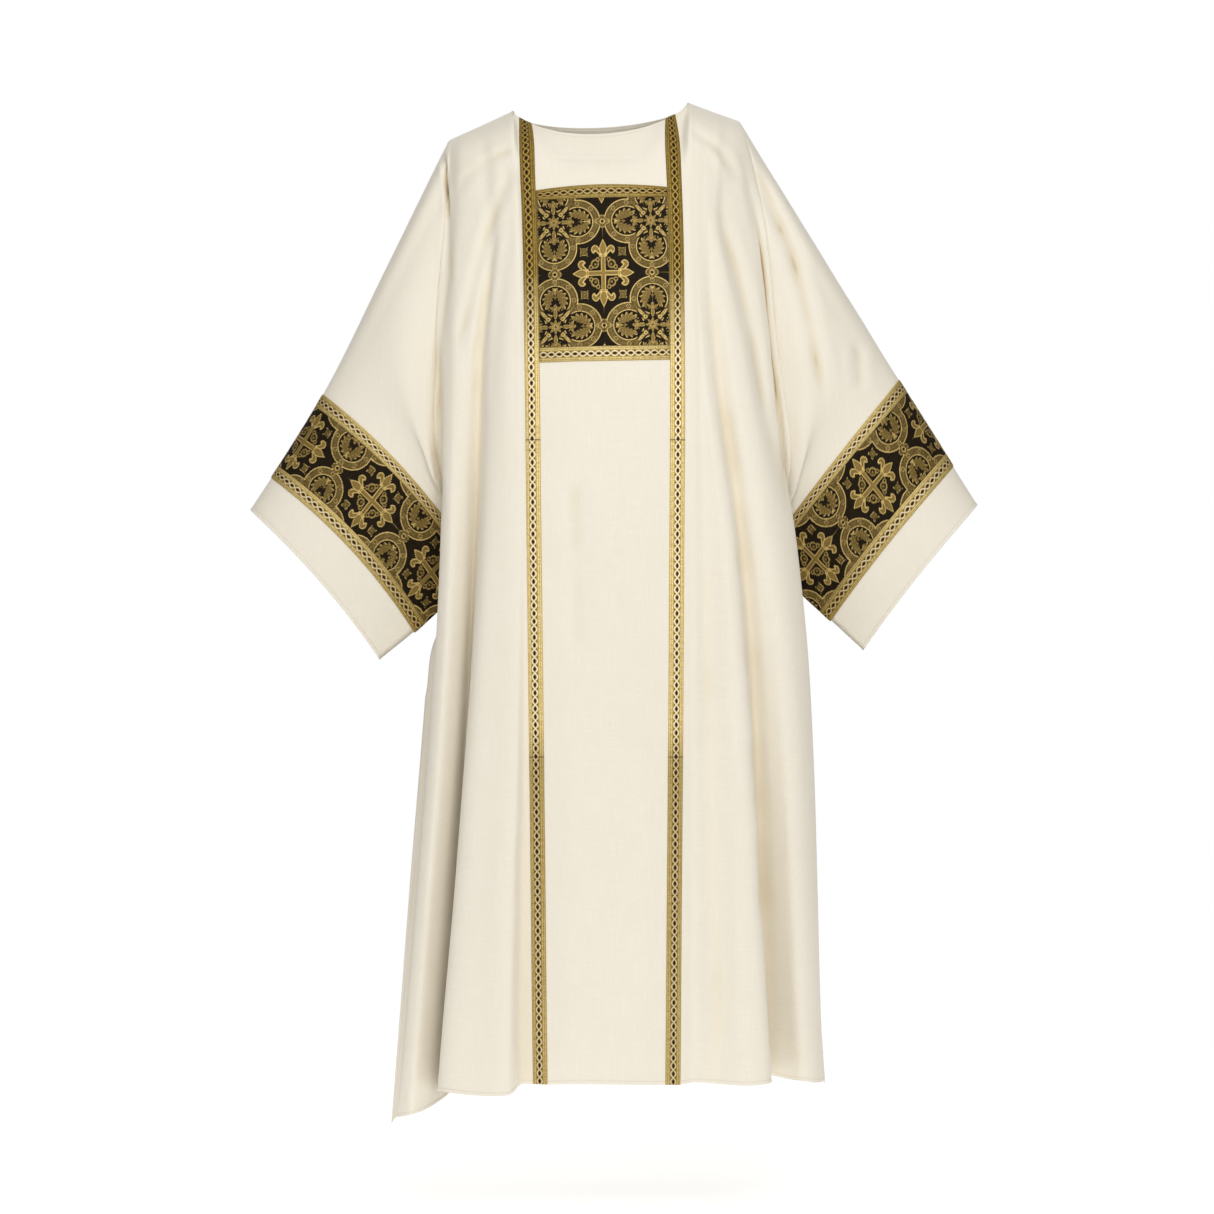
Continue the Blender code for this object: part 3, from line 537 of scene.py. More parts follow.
class PanelSurface:
    """The front or the back: a surface over its fold lines, from the right side edge to the left one."""

    def __init__(self, folds: tuple[Fold, ...], face: Face) -> None:
        """Reads the fold table, and gives each clavus two lines, half a galloon to each side of its fold."""
        self.face = face
        self.neck = NECKS[face]
        raw = np.array([fold_line(fold, self.neck) for fold in folds])
        self.names: list[str] = []
        lines = []
        for i, fold in enumerate(folds):
            if "clavus" not in fold.name:
                self.names.append(fold.name)
                lines.append(raw[i])
                continue
            along = raw[i + 1] - raw[i - 1]
            along[:, 2] = 0
            along = unit(along)
            for edge, way in (("right", -1), ("left", 1)):
                line = raw[i] + way * GALLOON_WIDTH / 2 * along
                line[0] = top_edge(line[0, 0], self.neck)
                self.names.append(f"{fold.name} {edge} edge")
                lines.append(line)
        self.folds = np.array(lines).transpose(1, 0, 2)

    @property
    def last(self) -> int:
        """The place of the left side edge, counted in folds."""
        return len(self.names) + 1

    def column(self, name: str) -> int:
        """The place of a fold line, counted from the right side edge."""
        return self.names.index(name) + 1

    def untrued(self, across: np.ndarray, down: np.ndarray) -> np.ndarray:
        """Points of the surface before its top edge is trued."""
        lines = curve_through(LEVELS, self.folds, down)
        right = edge_line(SIDES[Hand.RIGHT], self.face, down)[:, None]
        left = edge_line(SIDES[Hand.LEFT], self.face, down)[:, None]
        return across_folds(np.concatenate([right, lines, left], axis=1), across)

    def points(self, across: np.ndarray, down: np.ndarray) -> np.ndarray:
        """Points of the surface, which above the roll ease onto the exact neckline and shoulder seams."""
        points = self.untrued(across, down)
        top = self.untrued(across, np.zeros(1))[0]
        ease = np.clip(1 - down / ROLL, 0, 1)[:, None, None] ** 2
        return points + ease * (top_edge(top[:, 0], self.neck) - top)

    def normals(self, across: np.ndarray, down: np.ndarray) -> np.ndarray:
        """Outward normals, from the surface a small step to each side."""
        left, right = np.minimum(across + STEP, self.last), np.maximum(across - STEP, 0)
        below, above = np.minimum(down + STEP, LENGTH), np.maximum(down - STEP, 0)
        over = self.points(left, down) - self.points(right, down)
        fall = self.points(across, below) - self.points(across, above)
        return unit(np.cross(over, fall) * self.face.outward)


class SleeveSurface:
    """A sleeve, from the armhole through its rings to the cuff.

    The first parameter is the turn: 0 over the arm, 1 at the lower seam round the front, -1 round the back.
    """

    def __init__(self, hand: Hand) -> None:
        """Reads the hand's tables, and measures its armhole."""
        self.hand = hand
        self.edges = SIDES[hand]
        self.rings = RINGS[hand]
        self.along = [0, SLEEVE_TO_BAND / 2] + [ring.along for ring in self.rings]
        self.fine = np.linspace(0, UNDERARM, 400)
        self.share: dict[Face, np.ndarray] = {}
        for face in Face:
            length = run_length(edge_line(self.edges, face, self.fine)[:, None], 0)[:, 0]
            self.share[face] = length / length[-1]

    def turns(self, levels: np.ndarray) -> np.ndarray:
        """Where the armhole's levels come round the sleeve, from the lower seam over the arm and back to it."""
        front = np.interp(levels, self.fine, self.share[Face.FRONT])
        back = -np.interp(levels[:0:-1], self.fine, self.share[Face.BACK])
        return np.concatenate([back, front])

    def armhole(self, turn: np.ndarray) -> np.ndarray:
        """Points of the armhole seam."""
        sides = [edge_line(self.edges, face, np.interp(np.abs(turn), self.share[face], self.fine)) for face in Face]
        return np.where((turn >= 0)[:, None], *sides)

    def ring(self, ring: Ring, turn: np.ndarray) -> np.ndarray:
        """A flattened ring: a teardrop, round over the arm and narrowing to the lower edge.

        The cloth stands off the line from edge to edge by the square root of the way down times the way left.

        Args:
            ring: the ring's row of the table.
            turn: turns round the sleeve.

        Returns:
            One point for each turn.
        """
        down = np.abs(turn) ** TEARDROP_SPACING
        out = np.array([ring.out[0], 0, ring.out[1]])
        chord = np.array([ring.under[0], 0, ring.under[1]]) - out
        up = unit(np.array([chord[2], 0, -chord[0]]))
        up *= np.sign(up[2])
        stand = np.where(turn >= 0, -ring.front, ring.back) * TEARDROP * np.sqrt(down) * (1 - down)
        bow = 4 * down * (1 - down) * ring.bow
        return out + down[:, None] * chord + bow[:, None] * up + stand[:, None] * np.array([0, 1, 0])

    def points(self, across: np.ndarray, down: np.ndarray) -> np.ndarray:
        """Points of the sleeve, a curve from the armhole through each ring."""
        turn = np.mod(across + 1, 2) - 1
        first = self.armhole(turn)
        rings = [self.ring(ring, turn) for ring in self.rings]
        middle = (first + rings[0]) / 2
        middle[:, 1] -= np.sign(turn) * SLEEVE_FULLNESS * np.sin(np.pi * np.abs(turn))
        return curve_through(self.along, [first, middle, *rings], down)

    def normals(self, across: np.ndarray, down: np.ndarray) -> np.ndarray:
        """Outward normals, from the surface a small step to each side."""
        over = self.points(across + STEP, down) - self.points(across - STEP, down)
        below, above = np.minimum(down + STEP, SLEEVE_LENGTH), np.maximum(down - STEP, 0)
        fall = self.points(across, below) - self.points(across, above)
        return unit(np.cross(over, fall) * np.sign(self.edges[0].across))


def crease_move(crease: Crease, points: np.ndarray) -> np.ndarray:
    """How far one crease moves the cloth out.

    With d the distance from its path seen from the front and w its width, it is minus the depth times e to
    the minus (d/w) squared, with a low swell beside it. It fades in and out over its ends, and its depth
    wavers along it.

    Args:
        crease: the crease.
        points: points of the cloth.

    Returns:
        Metres along the normal, one for each point.
    """
    path = np.array(crease.path, float) / 1000
    runs = np.diff(path, axis=0)
    lengths = np.linalg.norm(runs, axis=1)
    before = np.concatenate([[0], np.cumsum(lengths)])
    nearest = np.full(points.shape[:-1], np.inf)
    place = np.zeros(points.shape[:-1])
    for start, run, length, so_far in zip(path, runs, lengths, before):
        off = points[..., [0, 2]] - start
        share = np.clip(off @ run / length**2, 0, 1)
        distance = np.linalg.norm(off - share[..., None] * run, axis=-1)
        closer = distance < nearest
        nearest = np.where(closer, distance, nearest)
        place = np.where(closer, so_far + share * length, place)
    total = before[-1]
    fade = smooth(0, 0.22 * total, place) * smooth(0, 0.22 * total, total - place)
    waver = 1 + 0.22 * np.sin(place * 41 + crease.path[0][0]) + 0.12 * np.sin(place * 97 + crease.path[0][1])
    width = crease.width / 1000
    trough = np.exp(-((nearest / width) ** 2)) - 0.3 * np.exp(-(((nearest - 2.1 * width) / width) ** 2))
    facing = smooth(0.002, 0.030, crease.face.outward * points[..., 1])
    return -crease.depth / 1000 * trough * fade * waver * facing


def relief(points: np.ndarray) -> np.ndarray:
    """How far the cloth moves out at each point, from all its creases and its slow unevenness.

    Args:
        points: points of the cloth.

    Returns:
        Metres along the normal, one for each point.
    """
    total = sum(crease_move(crease, points) for crease in CREASES)
    for height, across, forward, down, phase in UNEVEN:
        waves = points @ np.array([across, forward, down]) * 2 * np.pi / 3
        total = total + height / 1000 * np.sin(waves + phase)
    return total


def turned_edge(distance: np.ndarray) -> np.ndarray:
    """A turned edge: 0.4 mm proud for 3.6 mm, then a stitched groove 0.25 mm deep, 4.6 mm from the edge."""
    proud = 0.0004 / (1 + np.exp(np.clip((distance - 0.0036) / 0.0004, -40, 40)))
    return proud - 0.00025 * np.exp(-(((distance - STITCHES) / 0.0007) ** 2))


def seam_dip(distance: np.ndarray) -> np.ndarray:
    """The hollow beside a seam: 0.8 mm deep at the seam, and gone within about 5 mm."""
    return -0.0008 * np.exp(-((distance / 0.0025) ** 2))


def grid_normals(points: np.ndarray, like: np.ndarray, wraps: bool = False) -> np.ndarray:
    """Normals of a grid from its own points: the cross product of the steps across and down.

    Args:
        points: rows by columns by 3.
        like: rough normals, which say which way is out.
        wraps: whether the last column is beside the first.

    Returns:
        Unit normals.
    """
    if wraps:
        over = np.roll(points, -1, axis=1) - np.roll(points, 1, axis=1)
    else:
        over = np.gradient(points, axis=1)
    found = unit(np.cross(over, np.gradient(points, axis=0)))
    return found * np.sign(np.sum(found * like, axis=-1, keepdims=True))


def hollows(points: np.ndarray, normals: np.ndarray, reach: float, wraps: bool = False) -> np.ndarray:
    """How deep each point lies in a fold: its depth below the mean of the cloth round it, across the folds.

    The mean is weighted by e to the minus (distance along the row over reach) squared.

    Args:
        points: rows by columns by 3.
        normals: outward normals.
        reach: how far the mean reaches, in metres.
        wraps: whether the last column is beside the first.

    Returns:
        Metres, positive in a fold and negative on a crest.
    """
    place = run_length(points, 1)
    apart = place[:, :, None] - place[:, None, :]
    if wraps:
        total = (place[:, -1] + np.linalg.norm(points[:, 0] - points[:, -1], axis=-1))[:, None, None]
        apart = np.mod(apart + total / 2, total) - total / 2
    weight = np.exp(-((apart / reach) ** 2)) * np.gradient(place, axis=1)[:, None, :]
    mean = np.einsum("rij,rjk->rik", weight, points) / weight.sum(axis=2)[..., None]
    return np.sum((mean - points) * normals, axis=-1)


def rows_between(*spans: tuple[float, float, float]) -> np.ndarray:
    """Rising values through the spans, each given as (start, end, about how far apart)."""
    parts = [np.linspace(start, end, max(2, math.ceil((end - start) / apart) + 1)) for start, end, apart in spans]
    return np.unique(np.round(np.concatenate(parts), 7))


def corners(number: np.ndarray, deeper: int, lined: bool, wraps: bool) -> np.ndarray:
    """The four corners of each face of a wall: outer grid, inner grid, and the rims between them.

    Args:
        number: the outer grid's numbers. A wall that wraps has its first column again as its last.
        deeper: what is added to an outer number for the inner point behind it.
        lined: whether the inner grid has faces.
        wraps: whether the wall is a tube, which has no rims along its sides.

    Returns:
        Faces by 4.
    """
    a, b, c, d = number[:-1, :-1], number[:-1, 1:], number[1:, 1:], number[1:, :-1]
    faces = [np.stack([a, b, c, d], axis=-1).reshape(-1, 4)]
    rims = [number[0], number[-1, ::-1]]
    if not wraps:
        rims += [number[:, -1], number[::-1, 0]]
    for rim in rims:
        p, q = rim[:-1], rim[1:]
        faces.append(np.stack([p, p + deeper, q + deeper, q], axis=-1))
    if lined:
        faces.append(np.stack([a, d, c, b], axis=-1).reshape(-1, 4) + deeper)
    return np.concatenate(faces)


def make_wall(
    name: str,
    outer: np.ndarray,
    inner: np.ndarray,
    flat: np.ndarray,
    material: bpy.types.Material,
    values: dict[str, np.ndarray],
    wraps: bool = False,
    lined: bool = True,
) -> bpy.types.Object:
    """A closed wall of cloth or trim between two grids of points.

    Args:
        name: the piece's name.
        outer: rows by columns by 3, the side that shows.
        inner: the points behind them.
        flat: where each point lies on the flat cloth, in metres, with one more column where the wall wraps.
        material: its finish.
        values: numbers for each outer point, which become attributes of those names.
        wraps: whether the last column joins the first.
        lined: whether the inner side has faces. A trim that lies on cloth needs none.

    Returns:
        The new object, with a UV map in metres.
    """
    rows, columns = outer.shape[:2]
    count = rows * columns
    number = np.arange(count).reshape(rows, columns)
    if wraps:
        number = np.concatenate([number, number[:, :1]], axis=1)
    faces = corners(number, count, lined, wraps)
    flats = corners(np.arange(flat.shape[0] * flat.shape[1]).reshape(flat.shape[:2]), 0, lined, wraps)
    middle = faces[: (rows - 1) * (number.shape[1] - 1)]
    points = np.concatenate([outer.reshape(-1, 3), inner.reshape(-1, 3)])
    a, b, d = (points[middle[:, i]] for i in (0, 1, 3))
    if np.sum(np.cross(b - a, d - a) * (a - points[middle[:, 0] + count])) < 0:
        faces = faces[:, ::-1]
        flats = flats[:, ::-1]
    smooth_faces = np.ones(len(faces), bool)
    rims = 2 * (number.shape[1] - 1) + (0 if wraps else 2 * (rows - 1))
    smooth_faces[len(middle) : len(middle) + rims] = False
    kept, faces = np.unique(faces, return_inverse=True)
    faces = faces.reshape(-1, 4)

    mesh = bpy.data.meshes.new(name)
    mesh.vertices.add(len(kept))
    mesh.vertices.foreach_set("co", points[kept].astype(np.float32).ravel())
    mesh.loops.add(faces.size)
    mesh.loops.foreach_set("vertex_index", faces.astype(np.int32).ravel())
    mesh.polygons.add(len(faces))
    mesh.polygons.foreach_set("loop_start", np.arange(0, faces.size, 4, dtype=np.int32))
    mesh.polygons.foreach_set("use_smooth", smooth_faces)
    mesh.update(calc_edges=True)
    uv = mesh.uv_layers.new(name="cloth")
    uv.data.foreach_set("uv", flat.reshape(-1, 2)[flats.ravel()].astype(np.float32).ravel())
    for title, value in values.items():
        attribute = mesh.attributes.new(title, "FLOAT", "POINT")
        attribute.data.foreach_set("value", np.tile(value.ravel(), 2)[kept].astype(np.float32))
    mesh.materials.append(material)
    piece = bpy.data.objects.new(name, mesh)
    bpy.context.scene.collection.objects.link(piece)
    return piece


def place_piece(piece: bpy.types.Object, node: str) -> bpy.types.Object:
    """Makes a piece ride with the object in place of its CAD node.

    Args:
        piece: the new piece.
        node: the CAD node that it stands for.

    Returns:
        The piece.
    """
    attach(piece, "root")
    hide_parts(node)
    triangles = 2 * len(piece.data.polygons)
    LOG.info("%s stands for %s: %d triangles", piece.name, node, triangles)
    return piece


# ---------------------------------------------------------------- the brocade's pattern


def inside(value: np.ndarray, edge: float = 0.5) -> np.ndarray:
    """1 where a value in millimetres is above 0 and 0 where it is below, over a soft edge."""
    return np.clip(0.5 + value / edge, 0, 1)


def band(value: np.ndarray, low: float, high: float) -> np.ndarray:
    """1 where a value in millimetres lies between two others."""
    return inside(value - low) * inside(high - value)


def row_of_discs(x: np.ndarray, y: np.ndarray, discs: tuple[tuple[float, float, float], ...]) -> np.ndarray:
    """How deep each point lies in a row of blended discs, such as a curling petal: negative outside it.

    It is a soft maximum, 0.5 mm wide, of each disc's radius less the distance from its centre.

    Args:
        x: millimetres.
        y: millimetres.
        discs: (x, y, radius) along the petal. Discs between them come from a smooth curve.

    Returns:
        Millimetres.
    """
    total = np.zeros(x.shape)
    for centre_x, centre_y, radius in curve_through(range(len(discs)), discs, np.linspace(0, len(discs) - 1, 14)):
        total += np.exp(np.clip((radius - np.hypot(x - centre_x, y - centre_y)) / 0.5, -60, 60))
    return 0.5 * np.log(total + 1e-30) - 0.9


@dataclass(frozen=True)
class BrocadePattern:
    """The brocade's repeat: a cross flory in the middle, and quatrefoils of four ringed lobes at the corners.

    All sizes are in millimetres.
    """

    repeat_across: float = 130.0
    repeat_down: float = 141.0
    lobe_across: float = 32.2
    lobe_down: float = 35.0
    disc: float = 19.6
    ring: float = 30.6
    arm_across: float = 41.5
    arm_down: float = 46.4

    def weave(self, across: np.ndarray, down: np.ndarray) -> tuple[np.ndarray, np.ndarray]:
        """The woven figure.

        Args:
            across: metres across from the middle of a cross.
            down: metres down from the middle of a cross.

        Returns:
            figure: 0 on the charcoal ground, 0.5 on the olive bands, 1 on the gold figures.
            outline: 1 along the pale outlines.
        """
        x = across * 1000
        y = down * 1000
        x = x - self.repeat_across * np.round(x / self.repeat_across)
        y = y - self.repeat_down * np.round(y / self.repeat_down)
        far_x = self.repeat_across / 2 - np.abs(x)
        far_y = self.repeat_down / 2 - np.abs(y)
        figure, outline = self.quatrefoil(far_x, far_y)
        for more_figure, more_outline, cover in (
            self.flower(x, far_y),
            self.flower(far_x, y),
            self.cross(np.abs(x), np.abs(y) * self.arm_across / self.arm_down),
        ):
            figure = figure * (1 - cover) + more_figure * cover
            outline = outline * (1 - cover) + more_outline * cover
        return np.clip(figure, 0, 1), np.clip(outline, 0, 1)

    def quatrefoil(self, x: np.ndarray, y: np.ndarray) -> tuple[np.ndarray, np.ndarray]:
        """A quarter of a quatrefoil, from its centre: beaded rings round discs of acanthus, and a star.

        A ring is where the distance from the nearer lobe's centre lies between the disc and the ring. Two
        sprays of acanthus lie between the disc's rim and an almond that narrows away from the centre. A fan
        and a spear fill the almond, and a curl and half a leaf lie between two lobes.

        Args:
            x: millimetres across from the quatrefoil's centre.
            y: millimetres down from it.

        Returns:
            Its figure and its outlines.
        """
        near_x = np.hypot(x - self.lobe_across, y)
        near_y = np.hypot(x, y - self.lobe_down)
        first = near_x < near_y
        r = np.minimum(near_x, near_y)
        ahead = np.where(first, x - self.lobe_across, y - self.lobe_down)
        aside = np.abs(np.where(first, y, x))
        angle = np.arctan2(aside, ahead)
        centre = np.hypot(x, y)
        opening = inside(62 - np.abs(x * y)) * inside(24 - centre)

        ring = band(r, self.disc, self.ring) * (1 - opening)
        middle = (self.disc + self.ring) / 2
        outline = (band(r, self.disc, self.disc + 1.3) + band(r, self.ring - 1.4, self.ring)) * (1 - opening)
        step = np.pi / 4
        turn = angle / step - np.round(angle / step)
        bead = np.hypot(turn * step * middle, r - middle)
        outline += (0.75 * band(bead, 2.2, 3.1) + 0.5 * inside(0.9 - bead)) * ring
        wriggle = r - middle - 1.2 * np.sin(angle / step * 2 * np.pi * 3)
        outline += 0.42 * inside(0.6 - np.abs(wriggle)) * inside(bead - 3.8) * ring
        figure = 0.5 * ring

        slant = (x + y) / math.sqrt(2)
        beside = np.abs(x - y * 0.93) / math.sqrt(2)
        leaf_long = np.sin(np.pi * np.clip((slant - 13) / 17, 0, 1))
        slit = inside(1.1 * leaf_long - np.abs(beside - 3.3)) * inside(leaf_long - 0.05)
        blade = 2.2 * leaf_long - beside
        figure = figure * (1 - slit)
        outline = outline * (1 - slit)
        outline += (0.75 * band(blade, 0, 0.9) + 0.4 * band(blade, 1.8, 2.3)) * inside(leaf_long - 0.05)
        figure = np.maximum(figure, 0.8 * inside(blade) * inside(leaf_long - 0.05))

        dark = np.maximum(inside(self.disc - 0.2 - r), opening)
        figure = figure * (1 - dark)
        outline = outline * (1 - dark)
        phase = angle / (np.pi / 7.5) + 0.10 * (r - 12)
        tip = phase - np.floor(phase)
        rim = 13.4 + 4.6 * tip**0.8 - r
        tooth = ahead / 4.4 - np.floor(ahead / 4.4)
        almond = 0.36 * np.clip(13.5 - ahead, 0, 40) * smooth(-34, -16, ahead) + 2.2 * tooth - 1.2
        inner = aside - almond
        leaf = inside(rim, 0.6) * inside(inner, 0.6) * inside(self.disc - r)
        rib = np.abs(rim - inner)
        vein = np.abs(tip - 0.62) * (np.pi / 7.5) * r
        figure = np.maximum(figure, leaf * 0.70)
        outline += (0.75 * band(rim, 0, 1.0) + 0.5 * inside(0.5 - rib) + 0.55 * band(inner, 0, 0.8)) * leaf
        outline += 0.45 * inside(0.35 - vein) * inside(r - 9.5) * leaf

        spear = 2.6 * np.sin(np.pi * np.clip((ahead + 26) / 17, 0, 1)) - aside
        fan_r = np.hypot(ahead + 12.5, aside)
        fan_turn = np.arctan2(aside, ahead + 12.5)
        fan = 7.6 * (0.42 + 0.58 * np.abs(np.cos(3.0 * fan_turn)) ** 0.7) - fan_r
        fan_in = inside(fan) * inside(1.9 - np.abs(fan_turn), 0.2)
        head = np.maximum(fan_in, inside(spear))
        figure = np.maximum(figure * (1 - inside(fan + 1.2) * inside(2.0 - np.abs(fan_turn), 0.2)), 0.85 * head)
        outline = outline * (1 - head) + 0.8 * np.maximum(band(fan, 0, 0.8) * fan_in, band(spear, 0, 0.7))
        bud = np.minimum(1 - np.abs(ahead - 4.5) / 3.4 - aside / 1.9, 0.5)
        figure = np.maximum(figure, 0.8 * inside(bud, 0.3) * dark)
        outline += 0.6 * inside(0.5 - aside) * band(ahead, 7.0, 14) * dark
        eye = row_of_discs(ahead, aside, ((16.8, 0.8, 0.9), (15.4, 2.4, 1.2), (13.6, 3.2, 1.0), (12.4, 2.2, 0.8)))
        figure = np.maximum(figure, 0.85 * inside(eye, 0.8))
        outline += 0.3 * inside(eye, 0.8) * (1 - leaf)

        star_turn = np.arctan2(y, x)
        ray = np.abs(star_turn / step - np.round(star_turn / step)) * step * centre
        petal = 1.8 * np.sin(np.pi * np.clip((centre - 0.9) / 9.4, 0, 1)) - ray
        star = inside(petal) * inside(10.3 - centre)
        figure = np.where(centre < 10.4, 0.9 * star, figure)
        outline = np.where(centre < 10.4, 0.75 * band(petal, 0, 0.7) * star, outline)
        curl = np.hypot(x - 9.8, y - 10.6)
        outline = np.maximum(outline * inside(curl - 3.2), 0.95 * band(curl, 1.5, 2.8))
        figure = np.maximum(figure * inside(curl - 3.2), 0.8 * inside(2.8 - curl))
        return figure, outline

    def flower(self, x: np.ndarray, y: np.ndarray) -> tuple[np.ndarray, np.ndarray, np.ndarray]:
        """A small flower of four petals where two lobes meet: a disc whose radius swells four times round.

        Returns:
            Its figure, its outlines, and what it covers.
        """
        r = np.hypot(x, y)
        turn = np.arctan2(y, x)
        edge = 9.0 * (0.72 + 0.28 * np.abs(np.cos(2 * turn)))
        outline = 0.75 * band(edge - r, 0, 1.1) + 0.9 * band(r, 2.2, 3.6)
        outline += 0.45 * inside(0.6 - np.abs(np.sin(2 * turn)) * r / 2) * band(r, 3.8, 7.6)
        return 0.62 * inside(r - 2.0), outline, inside(edge - r)

    def cross(self, x: np.ndarray, y: np.ndarray) -> tuple[np.ndarray, np.ndarray, np.ndarray]:
        """A quarter of the cross flory: double bars, a fleur-de-lis on each arm, and scrolls in the angles.

        The middle petal's half width follows a sine from its foot to its point, and each side petal is a row
        of discs that curls outwards and back.

        Returns:
            Its figure, its outlines, and what it covers.
        """
        along = np.maximum(x, y)
        off = np.minimum(x, y)
        t = np.clip((along - 21.5) / (self.arm_across - 21.5), 0, 1)
        petal = 5.6 * np.sin(np.pi * t**0.72) * (1 - 0.2 * t) - off
        discs = ((2.8, 21.6, 1.6), (5.2, 24.6, 2.6), (7.6, 28.4, 3.5))
        discs += ((10.6, 30.8, 3.9), (13.2, 28.6, 3.3), (12.8, 25.2, 2.2))
        side = row_of_discs(off, along, discs)
        bar = np.minimum(3.1 - off, 24.5 - along)
        neck = np.minimum(5.4 - off, 1.5 - np.abs(along - 21.3))
        solid = np.maximum.reduce([petal, side, bar, neck])
        figure = inside(solid)
        outline = 0.9 * band(petal, 0, 1.2) * inside(along - 22)
        outline = np.maximum(outline, 0.9 * band(side, 0, 1.2) * inside(-petal))
        outline = np.maximum(outline, 0.85 * band(bar, 0, 1.1) * inside(19.5 - along))
        outline = np.maximum(outline, 0.8 * band(neck, 0, 0.9))
        within = band(petal, 1.9, 2.4) * inside(along - 24) + band(side, 1.8, 2.2) * inside(-petal - 0.8)
        within = within + inside(0.3 - off) * inside(20 - along) * inside(along - 3)
        figure = figure * (1 - 0.45 * np.clip(within, 0, 1))
        valley = inside(0.5 - np.abs(petal + 0.5)) * band(along, 23.5, 34)
        figure = figure * (1 - 0.9 * valley)
        scroll = np.hypot(x - 11.2, y - 11.2)
        small = np.hypot(off - 7.4, along - 16.4)
        curls = np.maximum(1.0 - np.abs(scroll - 4.6), 0.9 - np.abs(small - 2.2))
        tendril = 0.8 - np.abs(x + y - 27.5 + 0.2 * np.abs(x - y))
        curls = np.maximum(curls, np.minimum(tendril, 9 - np.abs(x - y)))
        bud = 1.9 - np.hypot(x - 10.6, y - 10.6)
        figure = np.maximum(figure, 0.85 * inside(np.maximum(curls, bud)) * (1 - inside(solid)))
        outline = np.maximum(outline, 0.4 * inside(curls) * (1 - inside(solid)))
        u = np.abs((x - 25.6) + (y - 25.9)) / math.sqrt(2)
        v = np.abs((x - 25.6) - (y - 25.9)) / math.sqrt(2)
        star = (8.2**0.72 - (u**0.72 + v**0.72)) * 1.6
        figure = np.maximum(figure, 0.55 * inside(star))
        outline = np.maximum(outline, 0.75 * band(star, 0, 0.8) + 0.5 * inside(0.9 - np.hypot(u, v)))
        cover = np.maximum.reduce([inside(solid + 0.4), inside(curls), inside(bud), inside(star)])
        return np.clip(figure, 0, 1), np.clip(outline, 0, 1), cover


# ---------------------------------------------------------------- finishes


@dataclass(frozen=True)
class Term:
    """A number or vector that the nodes of one tree work out, so that sums are written as sums."""

    tree: bpy.types.NodeTree
    socket: bpy.types.NodeSocket

    def math(self, operation: str, *others: object) -> "Term":
        """A Math node on this number and others."""
        node = self.tree.nodes.new("ShaderNodeMath")
        node.operation = operation
        for slot, value in zip(node.inputs, (self, *others)):
            feed(self.tree, slot, value)
        return Term(self.tree, node.outputs[0])

    def __add__(self, other: object) -> "Term":
        """The sum."""
        return self.math("ADD", other)

    def __sub__(self, other: object) -> "Term":
        """The difference."""
        return self.math("SUBTRACT", other)

    def __mul__(self, other: object) -> "Term":
        """The product."""
        return self.math("MULTIPLY", other)

    def size(self) -> "Term":
        """The number without its sign."""
        return self.math("ABSOLUTE")

    def step(self, low: float, high: float) -> "Term":
        """A smooth step from 0 where the number is low to 1 where it is high."""
        node = self.tree.nodes.new("ShaderNodeMapRange")
        node.interpolation_type = "SMOOTHSTEP"
        turned = low > high
        feed(self.tree, node.inputs["Value"], self)
        node.inputs["From Min"].default_value = min(low, high)
        node.inputs["From Max"].default_value = max(low, high)
        node.inputs["To Min"].default_value = 1.0 if turned else 0.0
        node.inputs["To Max"].default_value = 0.0 if turned else 1.0
        return Term(self.tree, node.outputs["Result"])

    def scaled(self, x: object, y: object, z: object = 0.0) -> "Term":
        """The vector with its parts multiplied."""
        parts = self.tree.nodes.new("ShaderNodeCombineXYZ")
        for slot, value in zip(parts.inputs, (x, y, z)):
            feed(self.tree, slot, value)
        node = self.tree.nodes.new("ShaderNodeVectorMath")
        node.operation = "MULTIPLY"
        feed(self.tree, node.inputs[0], self)
        self.tree.links.new(parts.outputs[0], node.inputs[1])
        return Term(self.tree, node.outputs[0])

    def noise(self, scale: float, detail: float = 2.0) -> "Term":
        """A noise read at this vector, from 0 to 1."""
        node = self.tree.nodes.new("ShaderNodeTexNoise")
        feed(self.tree, node.inputs["Vector"], self)
        node.inputs["Scale"].default_value = scale
        node.inputs["Detail"].default_value = detail
        return Term(self.tree, node.outputs[0])

    def tint(self, low: object, high: object) -> "Term":
        """The colour between two others that this number, from 0 to 1, picks."""
        node = self.tree.nodes.new("ShaderNodeMix")
        node.data_type = "RGBA"
        feed(self.tree, node.inputs["Factor"], self)
        feed(self.tree, node.inputs[6], low)
        feed(self.tree, node.inputs[7], high)
        return Term(self.tree, node.outputs[2])


def feed(tree: bpy.types.NodeTree, slot: bpy.types.NodeSocket, value: object) -> None:
    """Links a term to a socket, or sets the socket to a plain number or colour."""
    if isinstance(value, Term):
        tree.links.new(value.socket, slot)
    elif isinstance(value, tuple) and len(value) == 3 and slot.type == "RGBA":
        slot.default_value = (*value, 1.0)
    else:
        slot.default_value = value


